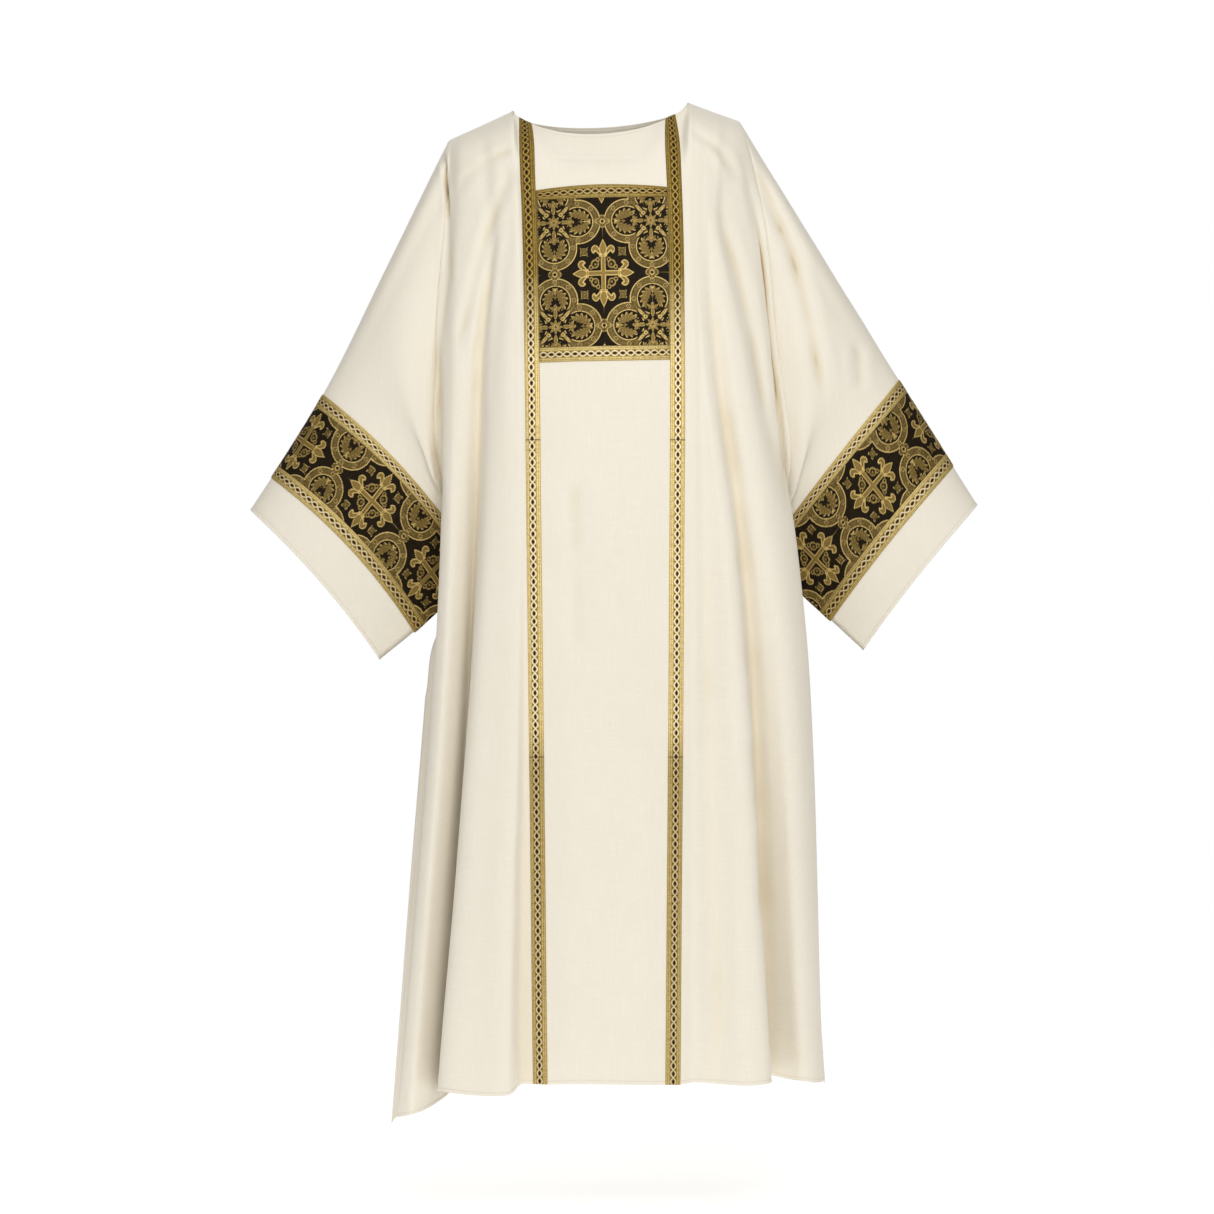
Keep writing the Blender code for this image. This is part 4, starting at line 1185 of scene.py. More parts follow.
def start_group(name: str, inputs: dict[str, tuple[str, float]], outputs: tuple[str, ...]) -> tuple:
    """An empty node group with named sockets.

    Args:
        name: the effect's name.
        inputs: each input's socket type and default.
        outputs: names of its numbers.

    Returns:
        The group, a term for each input, and the output node.
    """
    group = bpy.data.node_groups.new(name, "ShaderNodeTree")
    for title, (kind, default) in inputs.items():
        socket = group.interface.new_socket(name=title, in_out="INPUT", socket_type=kind)
        if kind == "NodeSocketFloat":
            socket.default_value = default
    for title in outputs:
        group.interface.new_socket(name=title, in_out="OUTPUT", socket_type="NodeSocketFloat")
    source = group.nodes.new("NodeGroupInput")
    target = group.nodes.new("NodeGroupOutput")
    return group, {title: Term(group, source.outputs[title]) for title in inputs}, target


def thread_weave() -> bpy.types.NodeTree:
    """The weave of warp and weft, from noise drawn out along each, with thicker slubs here and there.

    Warp is a noise with Fineness across and a thirtieth of it down, weft the other way round. Height is their
    mean, and Slubs is where a coarser drawn-out noise is high.
    """
    group, given, target = start_group(
        "thread weave",
        {"Place": ("NodeSocketVector", 0.0), "Fineness": ("NodeSocketFloat", 900.0)},
        ("Height", "Slubs"),
    )
    place, fineness = given["Place"], given["Fineness"]
    warp = place.scaled(fineness, fineness * 0.03).noise(1.0, 1.0)
    weft = place.scaled(fineness * 0.03, fineness).noise(1.0, 1.0)
    slub_weft = place.scaled(fineness * 0.022, fineness * 0.33).noise(1.0, 2.0)
    slub_warp = place.scaled(fineness * 0.36, fineness * 0.016).noise(1.0, 2.0)
    feed(group, target.inputs["Height"], (warp + weft) * 0.5)
    feed(group, target.inputs["Slubs"], (slub_weft + slub_warp).step(0.86, 1.30))
    return group


def soft_wear() -> bpy.types.NodeTree:
    """Faint cloudy differences of shade over the whole cloth, from noise about a hand wide."""
    group, given, target = start_group(
        "soft wear",
        {"Place": ("NodeSocketVector", 0.0), "Coarseness": ("NodeSocketFloat", 7.0)},
        ("Cloud",),
    )
    coarse = given["Coarseness"]
    feed(group, target.inputs["Cloud"], given["Place"].scaled(coarse, coarse, coarse).noise(1.0, 3.0).step(0.3, 0.7))
    return group


@dataclass
class Workroom:
    """Holds the shared effects, and starts each finish."""

    weave: bpy.types.NodeTree = field(default_factory=thread_weave)
    wear: bpy.types.NodeTree = field(default_factory=soft_wear)

    def start(self, name: str) -> tuple[bpy.types.Material, bpy.types.ShaderNodeBsdfPrincipled]:
        """A new material with its Principled shader."""
        material = bpy.data.materials.new(name)
        material.use_nodes = True
        return material, material.node_tree.nodes["Principled BSDF"]

    def effect(self, tree: bpy.types.NodeTree, group: bpy.types.NodeTree, **given: object) -> dict[str, Term]:
        """Places a shared effect in a material.

        Args:
            tree: the material's tree.
            group: the effect.
            given: values for its inputs.

        Returns:
            A term for each output.
        """
        node = tree.nodes.new("ShaderNodeGroup")
        node.node_tree = group
        for title, value in given.items():
            feed(tree, node.inputs[title], value)
        return {socket.name: Term(tree, socket) for socket in node.outputs}

    def flat_place(self, tree: bpy.types.NodeTree) -> Term:
        """Where a point lies on the flat cloth, in metres."""
        node = tree.nodes.new("ShaderNodeUVMap")
        node.uv_map = "cloth"
        return Term(tree, node.outputs["UV"])

    def attribute(self, tree: bpy.types.NodeTree, name: str) -> Term:
        """A number that the piece carries at each point."""
        node = tree.nodes.new("ShaderNodeAttribute")
        node.attribute_name = name
        return Term(tree, node.outputs["Fac"])

    def room_place(self, tree: bpy.types.NodeTree) -> Term:
        """Where a point is on the object."""
        return Term(tree, tree.nodes.new("ShaderNodeTexCoord").outputs["Object"])

    def bump(self, tree: bpy.types.NodeTree, shader: bpy.types.Node, height: Term, strength: float, depth: float) -> None:
        """Feeds a height through a Bump node to the shader's normal."""
        node = tree.nodes.new("ShaderNodeBump")
        node.inputs["Strength"].default_value = strength
        node.inputs["Distance"].default_value = depth
        feed(tree, node.inputs["Height"], height)
        tree.links.new(node.outputs["Normal"], shader.inputs["Normal"])


@dataclass(frozen=True)
class WoolFinish:
    """Cream wool: a plain weave with faint slubs, with a painted warm shade in its folds and a painted darker shade in
    its creases.

    Deep in a fold a painted bounce light makes the cloth lighter and warmer, standing in for light through it, and the
    deepest creases carry a painted dark shadow.
    """

    lit: tuple[float, float, float] = (0.830, 0.780, 0.674)
    # Painted warm shade, laid into the folds
    painted_fold_shade: tuple[float, float, float] = (0.815, 0.735, 0.575)
    # Painted bounce light, lighter and warmer, for the deepest folds
    deep: tuple[float, float, float] = (0.960, 0.840, 0.600)
    # Painted shade for the creases
    fold: tuple[float, float, float] = (0.700, 0.610, 0.440)
    # Painted dark shadow at the bottom of the deepest creases
    pit: tuple[float, float, float] = (0.400, 0.280, 0.110)
    slub: tuple[float, float, float] = (0.875, 0.830, 0.725)
    stitch: tuple[float, float, float] = (0.600, 0.530, 0.400)
    roughness: float = 0.86
    sheen: float = 0.22
    fineness: float = 1500.0

    def make(self, room: Workroom) -> bpy.types.Material:
        """Builds the material."""
        material, shader = room.start("cream wool")
        tree = material.node_tree
        place = room.flat_place(tree)
        weave = room.effect(tree, room.weave, Place=place, Fineness=self.fineness)
        cloud = room.effect(tree, room.wear, Place=room.room_place(tree))["Cloud"]
        hollow = room.attribute(tree, "fold")
        crease = room.attribute(tree, "crease")
        edge = room.attribute(tree, "stitched")
        colour = (weave["Slubs"] * 0.55).tint(self.lit, self.slub)
        # Painted shade: the cloth turns warmer and a little darker the deeper it lies in a fold
        colour = (hollow.step(0.0006, 0.0095) * 0.80).tint(colour, self.painted_fold_shade)
        # Painted bounce light: the deepest folds turn lighter and warmer, standing in for light through the cloth
        colour = (hollow.step(0.0140, 0.0260) * 0.60).tint(colour, self.deep)
        # Painted shade darkens the creases; a faint random cloud of tone is mixed into the same tint
        colour = (crease.step(0.0006, 0.0048) * 0.62 + cloud * 0.05).tint(colour, self.fold)
        # Painted shadow: the bottoms of the deepest creases, such as the armhole pit, turn dark brown
        colour = (crease.step(0.0040, 0.0062) * 0.90).tint(colour, self.pit)
        colour = (edge * 0.32).tint(colour, self.stitch)
        feed(tree, shader.inputs["Base Color"], colour)
        feed(tree, shader.inputs["Roughness"], weave["Height"] * 0.12 + (self.roughness - 0.06))
        shader.inputs["Sheen Weight"].default_value = self.sheen
        shader.inputs["Sheen Roughness"].default_value = 0.5
        shader.inputs["Specular IOR Level"].default_value = 0.25
        room.bump(tree, shader, weave["Height"] + weave["Slubs"] * 0.6, 0.25, 0.0003)
        return material


@dataclass(frozen=True)
class GalloonFinish:
    """Gold galloon: two pale strands that cross in a row of ovals, between borders of fine upright lines.

    The flat place is (across the strip, along it). With s the size of the sine of pi times along over the
    oval's length, the strands lie where the distance from the middle is s times half the oval's width.
    """

    # Each dull colour below is a thread in painted shade, and the colour after it is the same thread under a painted
    # bright sheen
    gold: tuple[float, float, float] = (0.310, 0.204, 0.040)
    light: tuple[float, float, float] = (0.960, 0.730, 0.225)
    strand: tuple[float, float, float] = (0.440, 0.315, 0.085)
    pale: tuple[float, float, float] = (1.000, 0.965, 0.810)
    shade: tuple[float, float, float] = (0.080, 0.043, 0.006)
    half_light: tuple[float, float, float] = (0.430, 0.275, 0.055)
    dark: tuple[float, float, float] = (0.030, 0.011, 0.005)
    metal: float = 0.30
    oval: float = 0.0106
    half: float = 0.0034

    def make(self, room: Workroom) -> bpy.types.Material:
        """Builds the material. An attribute picks between threads in painted shade and the same threads under a
        painted bright sheen.
        """
        material, shader = room.start("gold galloon")
        tree = material.node_tree
        place = room.flat_place(tree)
        parts = tree.nodes.new("ShaderNodeSeparateXYZ")
        tree.links.new(place.socket, parts.inputs[0])
        off = (Term(tree, parts.outputs[0]) - GALLOON_WIDTH / 2).size() * 1000
        along = Term(tree, parts.outputs[1])
        painted_sheen = room.attribute(tree, "painted_sheen")
        weave = room.effect(tree, room.weave, Place=place, Fineness=2400.0)
        swing = (along * (math.pi / self.oval)).math("SINE").size()
        strand = (off - swing * (self.half * 1000)).size().step(1.00, 0.55)
        eye = (swing * 3.0 - off - 1.30).step(-0.15, 0.35) * swing.step(0.55, 0.80)
        dot = (off - 3.1).size().step(0.85, 0.40) * swing.step(0.40, 0.2)
        middle = off.step(4.6, 4.3)
        lines = (off - 4.9).size().step(0.40, 0.15) + (off - 7.3).size().step(0.35, 0.12)
        bright = (off - 6.1).size().step(0.9, 0.3) + (off - 8.6).size().step(0.8, 0.3)
        ribs = place.scaled(150.0, 1300.0).noise(1.0, 1.0).step(0.35, 0.65)
        # Painted sheen: each colour runs from the thread in painted shade to the thread under a painted bright sheen
        gold = painted_sheen.tint(self.gold, self.light)
        thread = painted_sheen.tint(self.strand, self.pale)
        shade = painted_sheen.tint(self.shade, self.half_light)
        colour = (ribs * 0.62 + 0.38).tint(shade, gold)
        colour = (bright * (ribs * 0.30 + 0.20)).tint(colour, thread)
        colour = (lines * 0.75).tint(colour, shade)
        inner = (middle * 0.70).tint(colour, shade)
        inner = (strand * middle).tint(inner, thread)
        inner = ((eye + dot * 0.8) * middle * (strand * -0.75 + 1.0)).tint(inner, self.dark)
        join = room.attribute(tree, "join")
        colour = (join * 0.75).tint(inner, self.dark)
        feed(tree, shader.inputs["Base Color"], colour)
        feed(tree, shader.inputs["Roughness"], weave["Height"] * 0.3 + 0.34)
        shader.inputs["Metallic"].default_value = self.metal
        shader.inputs["Specular IOR Level"].default_value = 0.06
        height = strand * middle + bright * 0.5 - (eye + dot) * 0.8 - lines * 0.4 + weave["Height"] * 0.7
        room.bump(tree, shader, height, 0.55, 0.0005)
        return material


@dataclass(frozen=True)
class BrocadeFinish:
    """Black and gold brocade: charcoal satin ground, olive bands, gold figures and pale outlines."""

    ground: tuple[float, float, float] = (0.006, 0.004, 0.002)
    thread: tuple[float, float, float] = (0.022, 0.015, 0.007)
    olive: tuple[float, float, float] = (0.068, 0.042, 0.009)
    gold: tuple[float, float, float] = (0.186, 0.119, 0.028)
    pale: tuple[float, float, float] = (0.570, 0.415, 0.155)

    def make(self, room: Workroom) -> bpy.types.Material:
        """Builds the material."""
        material, shader = room.start("black and gold brocade")
        tree = material.node_tree
        place = room.flat_place(tree)
        weave = room.effect(tree, room.weave, Place=place, Fineness=2200.0)
        figure = room.attribute(tree, "figure")
        outline = room.attribute(tree, "outline")
        thread = weave["Height"].step(0.35, 0.65)
        ground = thread.tint(self.ground, self.thread)
        gold = (figure - 0.5).step(0.0, 0.45).tint(self.olive, self.gold)
        gold = (thread * 0.22).tint(gold, self.pale)
        colour = figure.step(0.12, 0.42).tint(ground, gold)
        colour = outline.step(0.15, 0.85).tint(colour, self.pale)
        feed(tree, shader.inputs["Base Color"], colour)
        lifted = figure.math("MAXIMUM", outline)
        feed(tree, shader.inputs["Metallic"], lifted.step(0.2, 0.8) * 0.35)
        shader.inputs["Specular IOR Level"].default_value = 0.05
        feed(tree, shader.inputs["Roughness"], weave["Height"] * 0.25 + lifted * -0.08 + 0.40)
        room.bump(tree, shader, lifted * 0.8 + weave["Height"] * 0.5, 0.45, 0.0004)
        return material


# ---------------------------------------------------------------- the garment's pieces

ABOVE_UNDERARM = rows_between(
    (0, EDGE_ROWS, FINE_ROW), (EDGE_ROWS, CHEST_TOP, 0.0045), (CHEST_TOP, UNDERARM, 0.0072)
)
BELOW_UNDERARM = rows_between(
    (UNDERARM, SLIT_TOP, 0.0072),
    (SLIT_TOP, LENGTH - EDGE_ROWS, 0.0075),
    (LENGTH - EDGE_ROWS, LENGTH, FINE_ROW),
)
NEAR_EDGE = np.array([0, 0.05, 0.10, 0.16, 0.23, 0.31, 0.40, 0.50, 0.62, 0.74, 0.87])


@dataclass
class BodyPanel:
    """The front or the back of the garment, with its clavi."""

    face: Face
    folds: tuple[Fold, ...]
    steps: int
    surface: PanelSurface = field(init=False)

    def __post_init__(self) -> None:
        """Works out the base grid and its normals."""
        self.surface = PanelSurface(self.folds, self.face)
        last = self.surface.last
        inner = np.linspace(1, last - 1, (last - 2) * self.steps + 1)
        self.columns = np.concatenate([NEAR_EDGE, inner, (last - NEAR_EDGE)[::-1]])
        self.levels = np.union1d(ABOVE_UNDERARM, BELOW_UNDERARM)
        self.base = self.surface.points(self.columns, self.levels)
        self.out = self.surface.normals(self.columns, self.levels)
        for side, shoulder in self.shoulders():
            run = self.base[0, shoulder[-1]] - self.base[0, shoulder[0]]
            upright = unit(np.cross(run, [0, side, 0]))
            self.out[0, shoulder] = upright * np.sign(upright[2])

    def shoulders(self) -> list[tuple[int, np.ndarray]]:
        """The columns of each shoulder seam, with the side they are on."""
        across = self.base[0, :, 0]
        beyond = np.abs(across - NECK_CENTRE) > NECK_HALF_WIDTH - STEP
        return [(side, np.flatnonzero(beyond & (across * side > 0))) for side in (-1, 1)]

    def edge_moves(self) -> tuple[np.ndarray, np.ndarray]:
        """What seams and turned edges do to the cloth.

        Returns:
            Metres along the normal, and how near each point is to the stitches of a turned edge, 0 to 1.
        """
        from_right = run_length(self.base, 1)
        side = np.minimum(from_right, from_right[:, -1:] - from_right)
        from_top = run_length(self.base, 0)
        hem = from_top[-1] - from_top
        slit = smooth(SLIT_TOP - 0.002, SLIT_TOP + 0.008, self.levels)[:, None]
        across = self.base[0, :, 0]
        neck = smooth(0, 0.006, NECK_HALF_WIDTH - np.abs(across - NECK_CENTRE))[None]
        seams = np.minimum(seam_dip(side) * (1 - slit), seam_dip(from_top) * (1 - neck))
        turns = np.stack([turned_edge(hem), turned_edge(side) * slit, turned_edge(from_top) * neck])
        pick = np.argmax(np.abs(turns), axis=0)
        turned = np.take_along_axis(turns, pick[None], axis=0)[0]
        near = [hem, side + (1 - slit), from_top + (1 - neck)]
        stitched = np.exp(-(((np.minimum.reduce(near) - STITCHES) / 0.0009) ** 2))
        return seams + turned, stitched

    def build(self, wool: bpy.types.Material) -> bpy.types.Object:
        """Makes the panel's cloth."""
        moves, stitched = self.edge_moves()
        moves = moves + relief(self.base)
        outer = self.base + self.out * moves[..., None]
        inner = outer - self.out * WOOL_THICK
        across = run_length(outer, 1)
        flat = np.stack([across - across[:, [across.shape[1] // 2]], -run_length(outer, 0)], axis=-1)
        # Depths in the cloth, from which the wool paints its shade, its dark crease shadow and its bounce light
        values = {
            "fold": hollows(outer, self.out, FOLD_REACH),
            "crease": -moves,
            "stitched": stitched,
        }
        piece = make_wall(f"{self.face.value}_cloth", outer, inner, flat, wool, values)
        self.cut = cut_of(outer)
        return place_piece(piece, f"{self.face.value}_panel")

    def clavus(self, hand: Hand, galloon: bpy.types.Material) -> bpy.types.Object:
        """Makes one upright galloon, from the neckline to the hem, with a lap of cloth below each join.

        Args:
            hand: the side it is on.
            galloon: its finish.

        Returns:
            The galloon.
        """
        first = self.surface.column(f"{hand.value} clavus right edge")
        columns = np.linspace(first, first + 1, GALLOON_ROWS)
        base_line = self.surface.points(np.array([first + 0.5]), self.levels)[:, 0]
        joins = np.interp(-np.array(GALLOON_JOINS), -base_line[:, 2], self.levels)
        near_joins = joins[:, None] + np.array([-3, -1.4, -0.8, -0.3, 0.3, 0.8, 1.4, 3]) / 1000
        strip = Strip(self.surface, columns, np.union1d(self.levels, near_joins))
        height = strip.points[..., 2]
        below = [height - join for join in GALLOON_JOINS]
        overlap = sum(smooth(-0.0006, 0.0006, -drop) * smooth(-0.020, -0.012, drop) for drop in below)
        values = {
            "join": sum(np.exp(-((drop / 0.0009) ** 2)) for drop in below),
            # Painted sheen down the clavus, brighter or duller as light would fall on it
            "painted_sheen": np.interp(-height, *zip(*CLAVUS_PAINTED_SHEEN)),
        }
        along = np.repeat(run_length(strip.points[:, 4:5], 0), GALLOON_ROWS, axis=1)
        name = f"clavus_{self.face.value}_{hand.value}"
        piece = strip.galloon(f"{name}_braid", along, galloon, values, across_rows=False, proud=0.0005 * overlap)
        return place_piece(piece, name)


def cut_of(points: np.ndarray, wraps: bool = False) -> tuple[tuple[float, float], float]:
    """The flat size that a grid of cloth was cut to: its widest row, its longest column, and its area.

    Args:
        points: rows by columns by 3.
        wraps: whether the last column is beside the first.

    Returns:
        Width and length in metres, and the area in square metres.
    """
    closed = np.concatenate([points, points[:, :1]], axis=1) if wraps else points
    width = float(run_length(closed, 1)[:, -1].max())
    length = float(run_length(closed, 0)[-1].max())
    over, fall = np.diff(closed, axis=1), np.diff(closed, axis=0)
    area = float(np.linalg.norm(np.cross(over[:-1], fall[:, :-1]), axis=-1).sum())
    return (round(width, 3), round(length, 3)), round(area, 4)


@dataclass
class Strip:
    """A piece of trim on a surface: its points and normals, with the cloth's creases in them."""

    surface: Surface
    across: np.ndarray
    down: np.ndarray
    wraps: bool = False
    bend: np.ndarray | float = 0.0

    def __post_init__(self) -> None:
        """Reads the surface, bends the piece down it, and creases it as the cloth beneath is creased."""
        below = self.surface.points(self.across, self.down + STEP)
        fall = below - self.surface.points(self.across, self.down - STEP)
        base = self.surface.points(self.across, self.down) + np.asarray(self.bend)[..., None] * fall / (2 * STEP)
        out = self.surface.normals(self.across, self.down)
        self.points = base + out * relief(base)[..., None]
        self.out = grid_normals(self.points, out, self.wraps)

    def galloon(
        self,
        name: str,
        along: np.ndarray,
        material: bpy.types.Material,
        values: dict[str, np.ndarray],
        across_rows: bool,
        proud: np.ndarray | float = 0.0,
    ) -> bpy.types.Object:
        """Makes a galloon with softly rounded edges.

        Args:
            name: the piece's name.
            along: how far along the strip each point is, with one more column where it wraps.
            material: its finish.
            values: more attributes.
            across_rows: whether the strip's width runs down the grid's rows, and not across its columns.
            proud: how much further out each point stands.

        Returns:
            The galloon.
        """
        rows, columns = along.shape
        share = np.linspace(0, 1, rows)[:, None] if across_rows else np.linspace(0, 1, columns)[None]
        share = np.broadcast_to(share, along.shape)
        flat = np.stack([share * GALLOON_WIDTH, along], axis=-1)
        crown = 1 - 0.45 * np.abs(2 * share[:, : self.points.shape[1]] - 1) ** 8
        lift = GAP + GALLOON_THICK * crown + proud
        outer = self.points + self.out * lift[..., None]
        inner = self.points + self.out * GAP
        return make_wall(name, outer, inner, flat, material, values, self.wraps)

    def brocade(self, name: str, across: np.ndarray, down: np.ndarray, material: bpy.types.Material) -> bpy.types.Object:
        """Makes a piece of brocade, whose figures stand 0.25 mm above its ground.

        Args:
            name: the piece's name.
            across: metres across the pattern from the middle of a cross.
            down: metres down it.
            material: its finish.

        Returns:
            The brocade.
        """
        columns = self.points.shape[1]
        figure, outline = BrocadePattern().weave(across[:, :columns], down[:, :columns])
        lift = GAP + BROCADE_THICK + 0.00025 * np.maximum(figure, outline)
        outer = self.points + self.out * lift[..., None]
        inner = self.points + self.out * GAP
        flat = np.stack([across, down], axis=-1)
        values = {"figure": figure, "outline": outline}
        return make_wall(name, outer, inner, flat, material, values, self.wraps, lined=False)


@dataclass
class ChestApparel:
    """The brocade square between the front clavi, with a galloon along its top and its foot."""

    surface: PanelSurface
    cross_below_yoke: float = 0.103
    cross_across: float = 0.0

    def even_columns(self, count: int) -> np.ndarray:
        """Columns at even distances between the clavi."""
        first = self.surface.column("right clavus left edge") + 0.012
        last = self.surface.column("left clavus right edge") - 0.012
        fine = np.linspace(first, last, 400)
        place = run_length(self.surface.points(fine, np.array([0.24])), 1)[0]
        return np.interp(np.linspace(0, place[-1], count), place, fine)

    def arch(self, count: int, top: np.ndarray | float = 0.0) -> np.ndarray:
        """How far down the upper galloon bends: its top edge is arched, and its lower edge slopes up a little.

        Args:
            count: how many columns.
            top: 1 at its top edge and 0 at its lower edge.

        Returns:
            Metres, in one row.
        """
        share = np.linspace(0, 1, count)[None]
        low = 3 - 7 * share + 2 * share**2
        return (low + top * (9.8 - 27 * share + 22 * share**2 - low)) / 1000

    def build(self, brocade: bpy.types.Material, galloon: bpy.types.Material) -> list[bpy.types.Object]:
        """Makes the square and its two galloons.

        Args:
            brocade: the square's finish.
            galloon: the galloons' finish.

        Returns:
            The three pieces.
        """
        foot = CHEST_FOOT - GALLOON_WIDTH
        levels = np.linspace(YOKE + CLEAR, foot - CLEAR, 248)
        fade = smooth(0.070, 0, levels - YOKE)[:, None]
        square = Strip(self.surface, self.even_columns(228), levels, bend=fade * self.arch(228))
        across = run_length(square.points, 1)
        zero = across[np.arange(len(across)), np.argmin(np.abs(square.points[..., 0] - self.cross_across), axis=1)]
        across = across - np.median(zero)
        down = run_length(square.points, 0) - self.cross_below_yoke
        cloth = square.brocade("chest_apparel_brocade", across, down, brocade)
        pieces = [place_piece(cloth, "chest_apparel")]
        for part, top, low in (("upper", CHEST_TOP, YOKE), ("lower", foot, CHEST_FOOT)):
            arch = self.arch(90, np.linspace(1, 0, GALLOON_ROWS)[:, None]) * (part == "upper")
            levels = np.linspace(top + CLEAR, low - CLEAR, GALLOON_ROWS)
            strip = Strip(self.surface, self.even_columns(90), levels, bend=arch)
            along = np.repeat(run_length(strip.points[4:5], 1), GALLOON_ROWS, axis=0)
            share = np.linspace(0, np.pi, along.shape[1])
            # Painted sheen along each chest galloon, brightest at its middle; the upper galloon stays almost wholly in
            # painted shade
            painted_sheen = 0.02 + 0.15 * np.sin(share) if part == "upper" else 0.45 + 0.20 * np.sin(share)
            values = {"join": np.zeros(along.shape), "painted_sheen": np.broadcast_to(painted_sheen, along.shape)}
            piece = strip.galloon(f"chest_galloon_{part}_braid", along, galloon, values, across_rows=True)
            pieces.append(place_piece(piece, f"chest_galloon_{part}"))
        return pieces


@dataclass
class WideSleeve:
    """One sleeve, with its brocade band between two galloons."""

    hand: Hand
    cross_from_top: float
    surface: SleeveSurface = field(init=False)

    def __post_init__(self) -> None:
        """Works out the base grid and its normals. Its columns match the panels' rows at the armhole."""
        self.surface = SleeveSurface(self.hand)
        self.turns = self.surface.turns(ABOVE_UNDERARM)
        self.rows = rows_between(
            (0, EDGE_ROWS, FINE_ROW),
            (EDGE_ROWS, SLEEVE_LENGTH - EDGE_ROWS, 0.0068),
            (SLEEVE_LENGTH - EDGE_ROWS, SLEEVE_LENGTH, FINE_ROW),
        )
        self.base = self.surface.points(self.turns[:-1], self.rows)
        self.out = self.surface.normals(self.turns[:-1], self.rows)

    def build(self, wool: bpy.types.Material) -> bpy.types.Object:
        """Makes the sleeve's cloth."""
        closed = np.concatenate([self.base, self.base[:, :1]], axis=1)
        place = run_length(closed, 1)
        around = np.minimum(place, place[:, -1:] - place)[:, :-1]
        from_top = run_length(self.base, 0)
        cuff = from_top[-1] - from_top
        seams = seam_dip(np.minimum(from_top, around))
        move = relief(self.base) + seams + turned_edge(cuff)
        outer = self.base + self.out * move[..., None]
        inner = outer - self.out * WOOL_THICK
        top = place[:, [len(self.turns) // 2]]
        down = run_length(closed, 0)
        flat = np.stack([place - top, -down], axis=-1)
        # Depths in the cloth, from which the wool paints its shade, its dark crease shadow and its bounce light
        values = {
            "fold": hollows(outer, self.out, FOLD_REACH, wraps=True),
            "crease": -move,
            "stitched": np.exp(-(((cuff - STITCHES) / 0.0009) ** 2)),
        }
        piece = make_wall(f"sleeve_{self.hand.value}_cloth", outer, inner, flat, wool, values, wraps=True)
        self.cut = cut_of(outer, wraps=True)
        return place_piece(piece, f"sleeve_{self.hand.value}")

    def even_turns(self, count: int) -> np.ndarray:
        """Turns at even distances round the middle of the band, from the lower seam and back to it."""
        fine = np.linspace(-1, 1, 2001)
        middle = np.array([SLEEVE_TO_BAND + SLEEVE_BAND / 2])
        place = run_length(self.surface.points(fine, middle), 1)[0]
        return np.interp(np.linspace(0, place[-1], count), place, fine)

    def band(self, brocade: bpy.types.Material, galloon: bpy.types.Material) -> list[bpy.types.Object]:
        """Makes the brocade band and its two galloons.

        Args:
            brocade: the band's finish.
            galloon: the galloons' finish.

        Returns:
            The three pieces.
        """
        upper = SLEEVE_TO_BAND + GALLOON_WIDTH
        lower = SLEEVE_TO_BAND + SLEEVE_BAND - GALLOON_WIDTH
        turns = self.even_turns(541)
        cloth = Strip(self.surface, turns[:-1], np.linspace(upper + CLEAR, lower - CLEAR, 82), wraps=True)
        place = self.around(cloth.points)
        middle = place[len(place) // 2]
        top = np.interp(0, turns, middle)
        along = np.broadcast_to(middle - top - self.cross_from_top, place.shape)
        closed = np.concatenate([cloth.points, cloth.points[:, :1]], axis=1)
        down = run_length(closed, 0)
        down = down - down[-1:] / 2
        name = f"sleeve_apparel_{self.hand.value}"
        piece = cloth.brocade(f"{name}_brocade", along, down, brocade)
        pieces = [place_piece(piece, name)]
        turns = self.even_turns(261)
        for part, start, end in (("upper", SLEEVE_TO_BAND, upper), ("lower", lower, SLEEVE_TO_BAND + SLEEVE_BAND)):
            rows = np.linspace(start + CLEAR, end - CLEAR, GALLOON_ROWS)
            strip = Strip(self.surface, turns[:-1], rows, wraps=True)
            along = np.repeat(self.around(strip.points)[4:5], GALLOON_ROWS, axis=0)
            # Painted sheen round each sleeve galloon: dull over the arm and at the lower seam, brightest halfway
            # between
            painted_sheen = 0.15 + 0.45 * np.sin(np.pi * np.abs(turns[:-1]) ** 0.8)
            shape = strip.points.shape[:2]
            values = {"join": np.zeros(shape), "painted_sheen": np.broadcast_to(painted_sheen, shape)}
            name = f"sleeve_galloon_{part}_{self.hand.value}"
            piece = strip.galloon(f"{name}_braid", along, galloon, values, across_rows=True)
            pieces.append(place_piece(piece, name))
        return pieces

    def around(self, points: np.ndarray) -> np.ndarray:
        """How far round the sleeve each point is from the lower seam, with the whole way round last."""
        return run_length(np.concatenate([points, points[:, :1]], axis=1), 1)


def share_seams(front: BodyPanel, back: BodyPanel, sleeves: dict[Hand, WideSleeve]) -> None:
    """Gives the pieces that meet at a seam the same normals there, so that their edges move as one.

    Args:
        front: the front panel.
        back: the back panel.
        sleeves: both sleeves.
    """
    armhole = len(ABOVE_UNDERARM)
    seam = int(np.searchsorted(front.levels, SLIT_TOP - STEP)) + 1
    for hand, column in ((Hand.RIGHT, 0), (Hand.LEFT, -1)):
        sleeve = sleeves[hand]
        count = len(sleeve.turns) - 1
        fronts = np.arange(armhole - 1, 2 * armhole - 1) % count
        backs = np.arange(armhole - 1, -1, -1)
        for panel, places in ((front, fronts), (back, backs)):
            shared = unit(panel.out[:armhole, column] + sleeve.out[0, places])
            panel.out[:armhole, column] = shared
            sleeve.out[0, places] = shared
        for row in (0, armhole - 1):
            shared = unit(front.out[row, column] + back.out[row, column])
            front.out[row, column] = back.out[row, column] = shared
            sleeve.out[0, fronts[row]] = shared
        below = slice(armhole - 1, seam)
        shared = unit(front.out[below, column] + back.out[below, column])
        front.out[below, column] = back.out[below, column] = shared


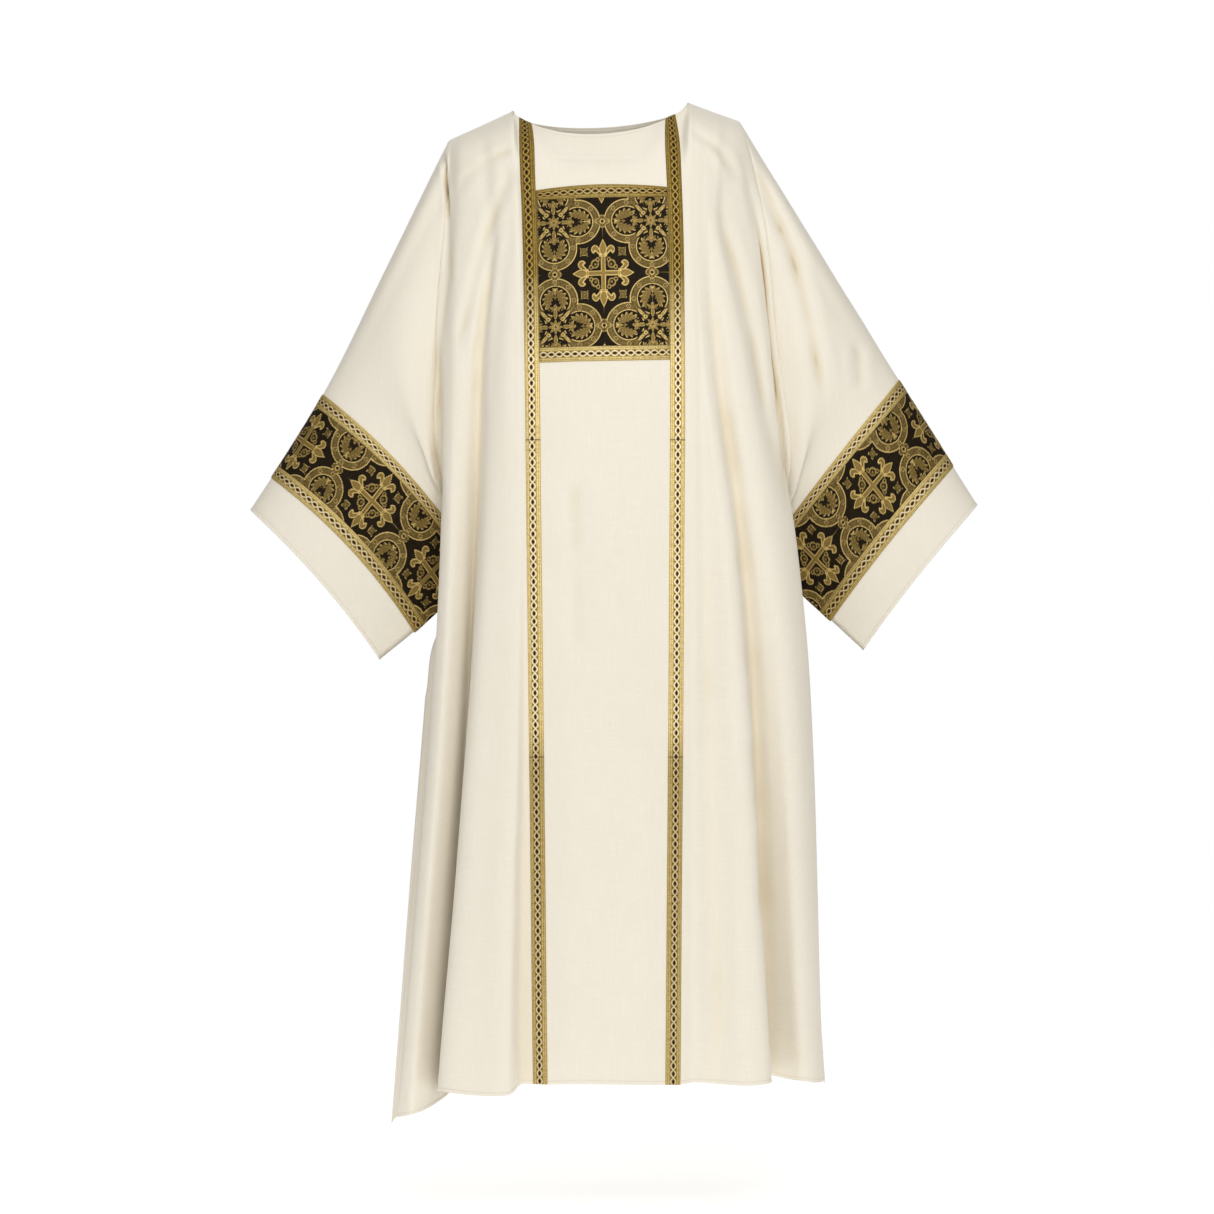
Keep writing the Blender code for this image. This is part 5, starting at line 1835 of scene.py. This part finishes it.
@dataclass
class Dalmatic:
    """The whole garment."""

    room: Workroom = field(default_factory=Workroom)

    def build(self) -> None:
        wool = WoolFinish().make(self.room)
        galloon = GalloonFinish().make(self.room)
        brocade = BrocadeFinish().make(self.room)
        front = BodyPanel(Face.FRONT, FRONT_FOLDS, 7)
        back = BodyPanel(Face.BACK, BACK_FOLDS, 7)
        sleeves = {Hand.RIGHT: WideSleeve(Hand.RIGHT, 0.033), Hand.LEFT: WideSleeve(Hand.LEFT, 0.011)}
        share_seams(front, back, sleeves)
        cloth = {face: panel.build(wool) for face, panel in ((Face.FRONT, front), (Face.BACK, back))}
        trims = {
            Face.FRONT: [front.clavus(hand, galloon) for hand in Hand]
            + ChestApparel(front.surface).build(brocade, galloon),
            Face.BACK: [back.clavus(hand, galloon) for hand in Hand],
        }
        for hand, sleeve in sleeves.items():
            piece = sleeve.build(wool)
            sleeve.band(brocade, galloon)


# ---------------------------------------------------------------- the studio


@dataclass
class Studio:
    """A pale floor, soft lights, a white room and the camera."""

    floor_height: float = -1.52
    floor_reach: float = 2.6
    lens: float = 99.6
    stand: tuple[float, float, float] = (0.005, -4.63, -0.690)
    aim: tuple[float, float, float] = (0.0, 0.0, -0.65)

    def floor(self) -> None:
        """A disc of rings, whose finish fades out towards its edge."""
        turn = np.linspace(0, 2 * np.pi, 65)[:-1]
        reach = np.linspace(0.02, self.floor_reach, 12)[:, None]
        points = np.stack([reach * np.cos(turn), reach * np.sin(turn), np.full((12, 64), self.floor_height)], axis=-1)
        number = np.arange(12 * 64).reshape(12, 64)
        number = np.concatenate([number, number[:, :1]], axis=1)
        faces = np.stack([number[:-1, :-1], number[1:, :-1], number[1:, 1:], number[:-1, 1:]], axis=-1).reshape(-1, 4)
        mesh = bpy.data.meshes.new("floor")
        mesh.from_pydata(points.reshape(-1, 3).tolist(), [], faces.tolist() + [number[0, :-1].tolist()])
        material = bpy.data.materials.new("pale floor")
        material.use_nodes = True
        tree = material.node_tree
        shader = tree.nodes["Principled BSDF"]
        shader.inputs["Roughness"].default_value = 0.9
        shader.inputs["Base Color"].default_value = (0.94, 0.94, 0.94, 1)
        shader.inputs["Emission Color"].default_value = (1, 1, 1, 1)
        shader.inputs["Emission Strength"].default_value = 0.45
        place = Term(tree, tree.nodes.new("ShaderNodeTexCoord").outputs["Object"])
        length = tree.nodes.new("ShaderNodeVectorMath")
        length.operation = "LENGTH"
        feed(tree, length.inputs[0], place.scaled(1.0, 1.0))
        feed(tree, shader.inputs["Alpha"], Term(tree, length.outputs["Value"]).step(self.floor_reach * 0.9, 0.5))
        mesh.materials.append(material)
        floor = bpy.data.objects.new("floor", mesh)
        bpy.context.scene.collection.objects.link(floor)

    def light(self, name: str, place: tuple[float, float, float], size: float, power: float) -> None:
        """A large soft light that looks at the middle of the garment.

        Args:
            name: which light it is.
            place: where it stands.
            size: metres across.
            power: watts.
        """
        data = bpy.data.lights.new(name, "AREA")
        data.shape = "DISK"
        data.size = size
        data.energy = power
        lamp = bpy.data.objects.new(name, data)
        lamp.visible_camera = False
        lamp.location = place
        aim = np.array(self.aim) - np.array(place)
        flat = math.hypot(aim[0], aim[1])
        lamp.rotation_euler = (math.atan2(flat, -aim[2]), 0, math.atan2(aim[1], aim[0]) - math.pi / 2)
        bpy.context.scene.collection.objects.link(lamp)

    def room(self, lighting: float) -> None:
        """A white world, which looks whiter to the camera than it lights the cloth."""
        world = bpy.data.worlds.new("white room")
        bpy.context.scene.world = world
        world.use_nodes = True
        tree = world.node_tree
        back = tree.nodes["Background"]
        path = tree.nodes.new("ShaderNodeLightPath")
        seen = Term(tree, path.outputs["Is Camera Ray"])
        feed(tree, back.inputs["Strength"], seen * (1.0 - lighting) + lighting)
        feed(tree, back.inputs["Color"], seen.tint((1.0, 0.975, 0.925), (1.0, 1.0, 1.0)))

    def camera(self) -> None:
        """The camera, level and straight in front."""
        data = bpy.data.cameras.new("camera")
        data.lens = self.lens
        data.sensor_width = 36
        camera = bpy.data.objects.new("camera", data)
        camera.location = self.stand
        camera.rotation_euler = (math.pi / 2, 0, 0)
        bpy.context.scene.collection.objects.link(camera)
        bpy.context.scene.camera = camera

    def build(self) -> None:
        """Sets up the whole studio."""
        self.floor()
        self.light("key", (0.25, -1.9, 0.04), 0.9, 14)
        self.light("low left", (-1.0, -2.8, -1.2), 1.6, 3)
        self.light("above", (0.3, -1.6, 2.4), 1.8, 22)
        self.light("left", (-2.2, -2.4, 0.5), 1.8, 6)
        self.light("behind", (-0.6, 3.0, 0.1), 2.0, 26)
        self.room(0.45)
        self.camera()
        bpy.context.scene.view_settings.view_transform = "Standard"


def main() -> None:
    """Builds the garment and the studio."""
    logging.basicConfig(level=logging.INFO, format="%(name)s: %(message)s")
    Dalmatic().build()
    Studio().build()


if __name__ == "__main__":
    main()
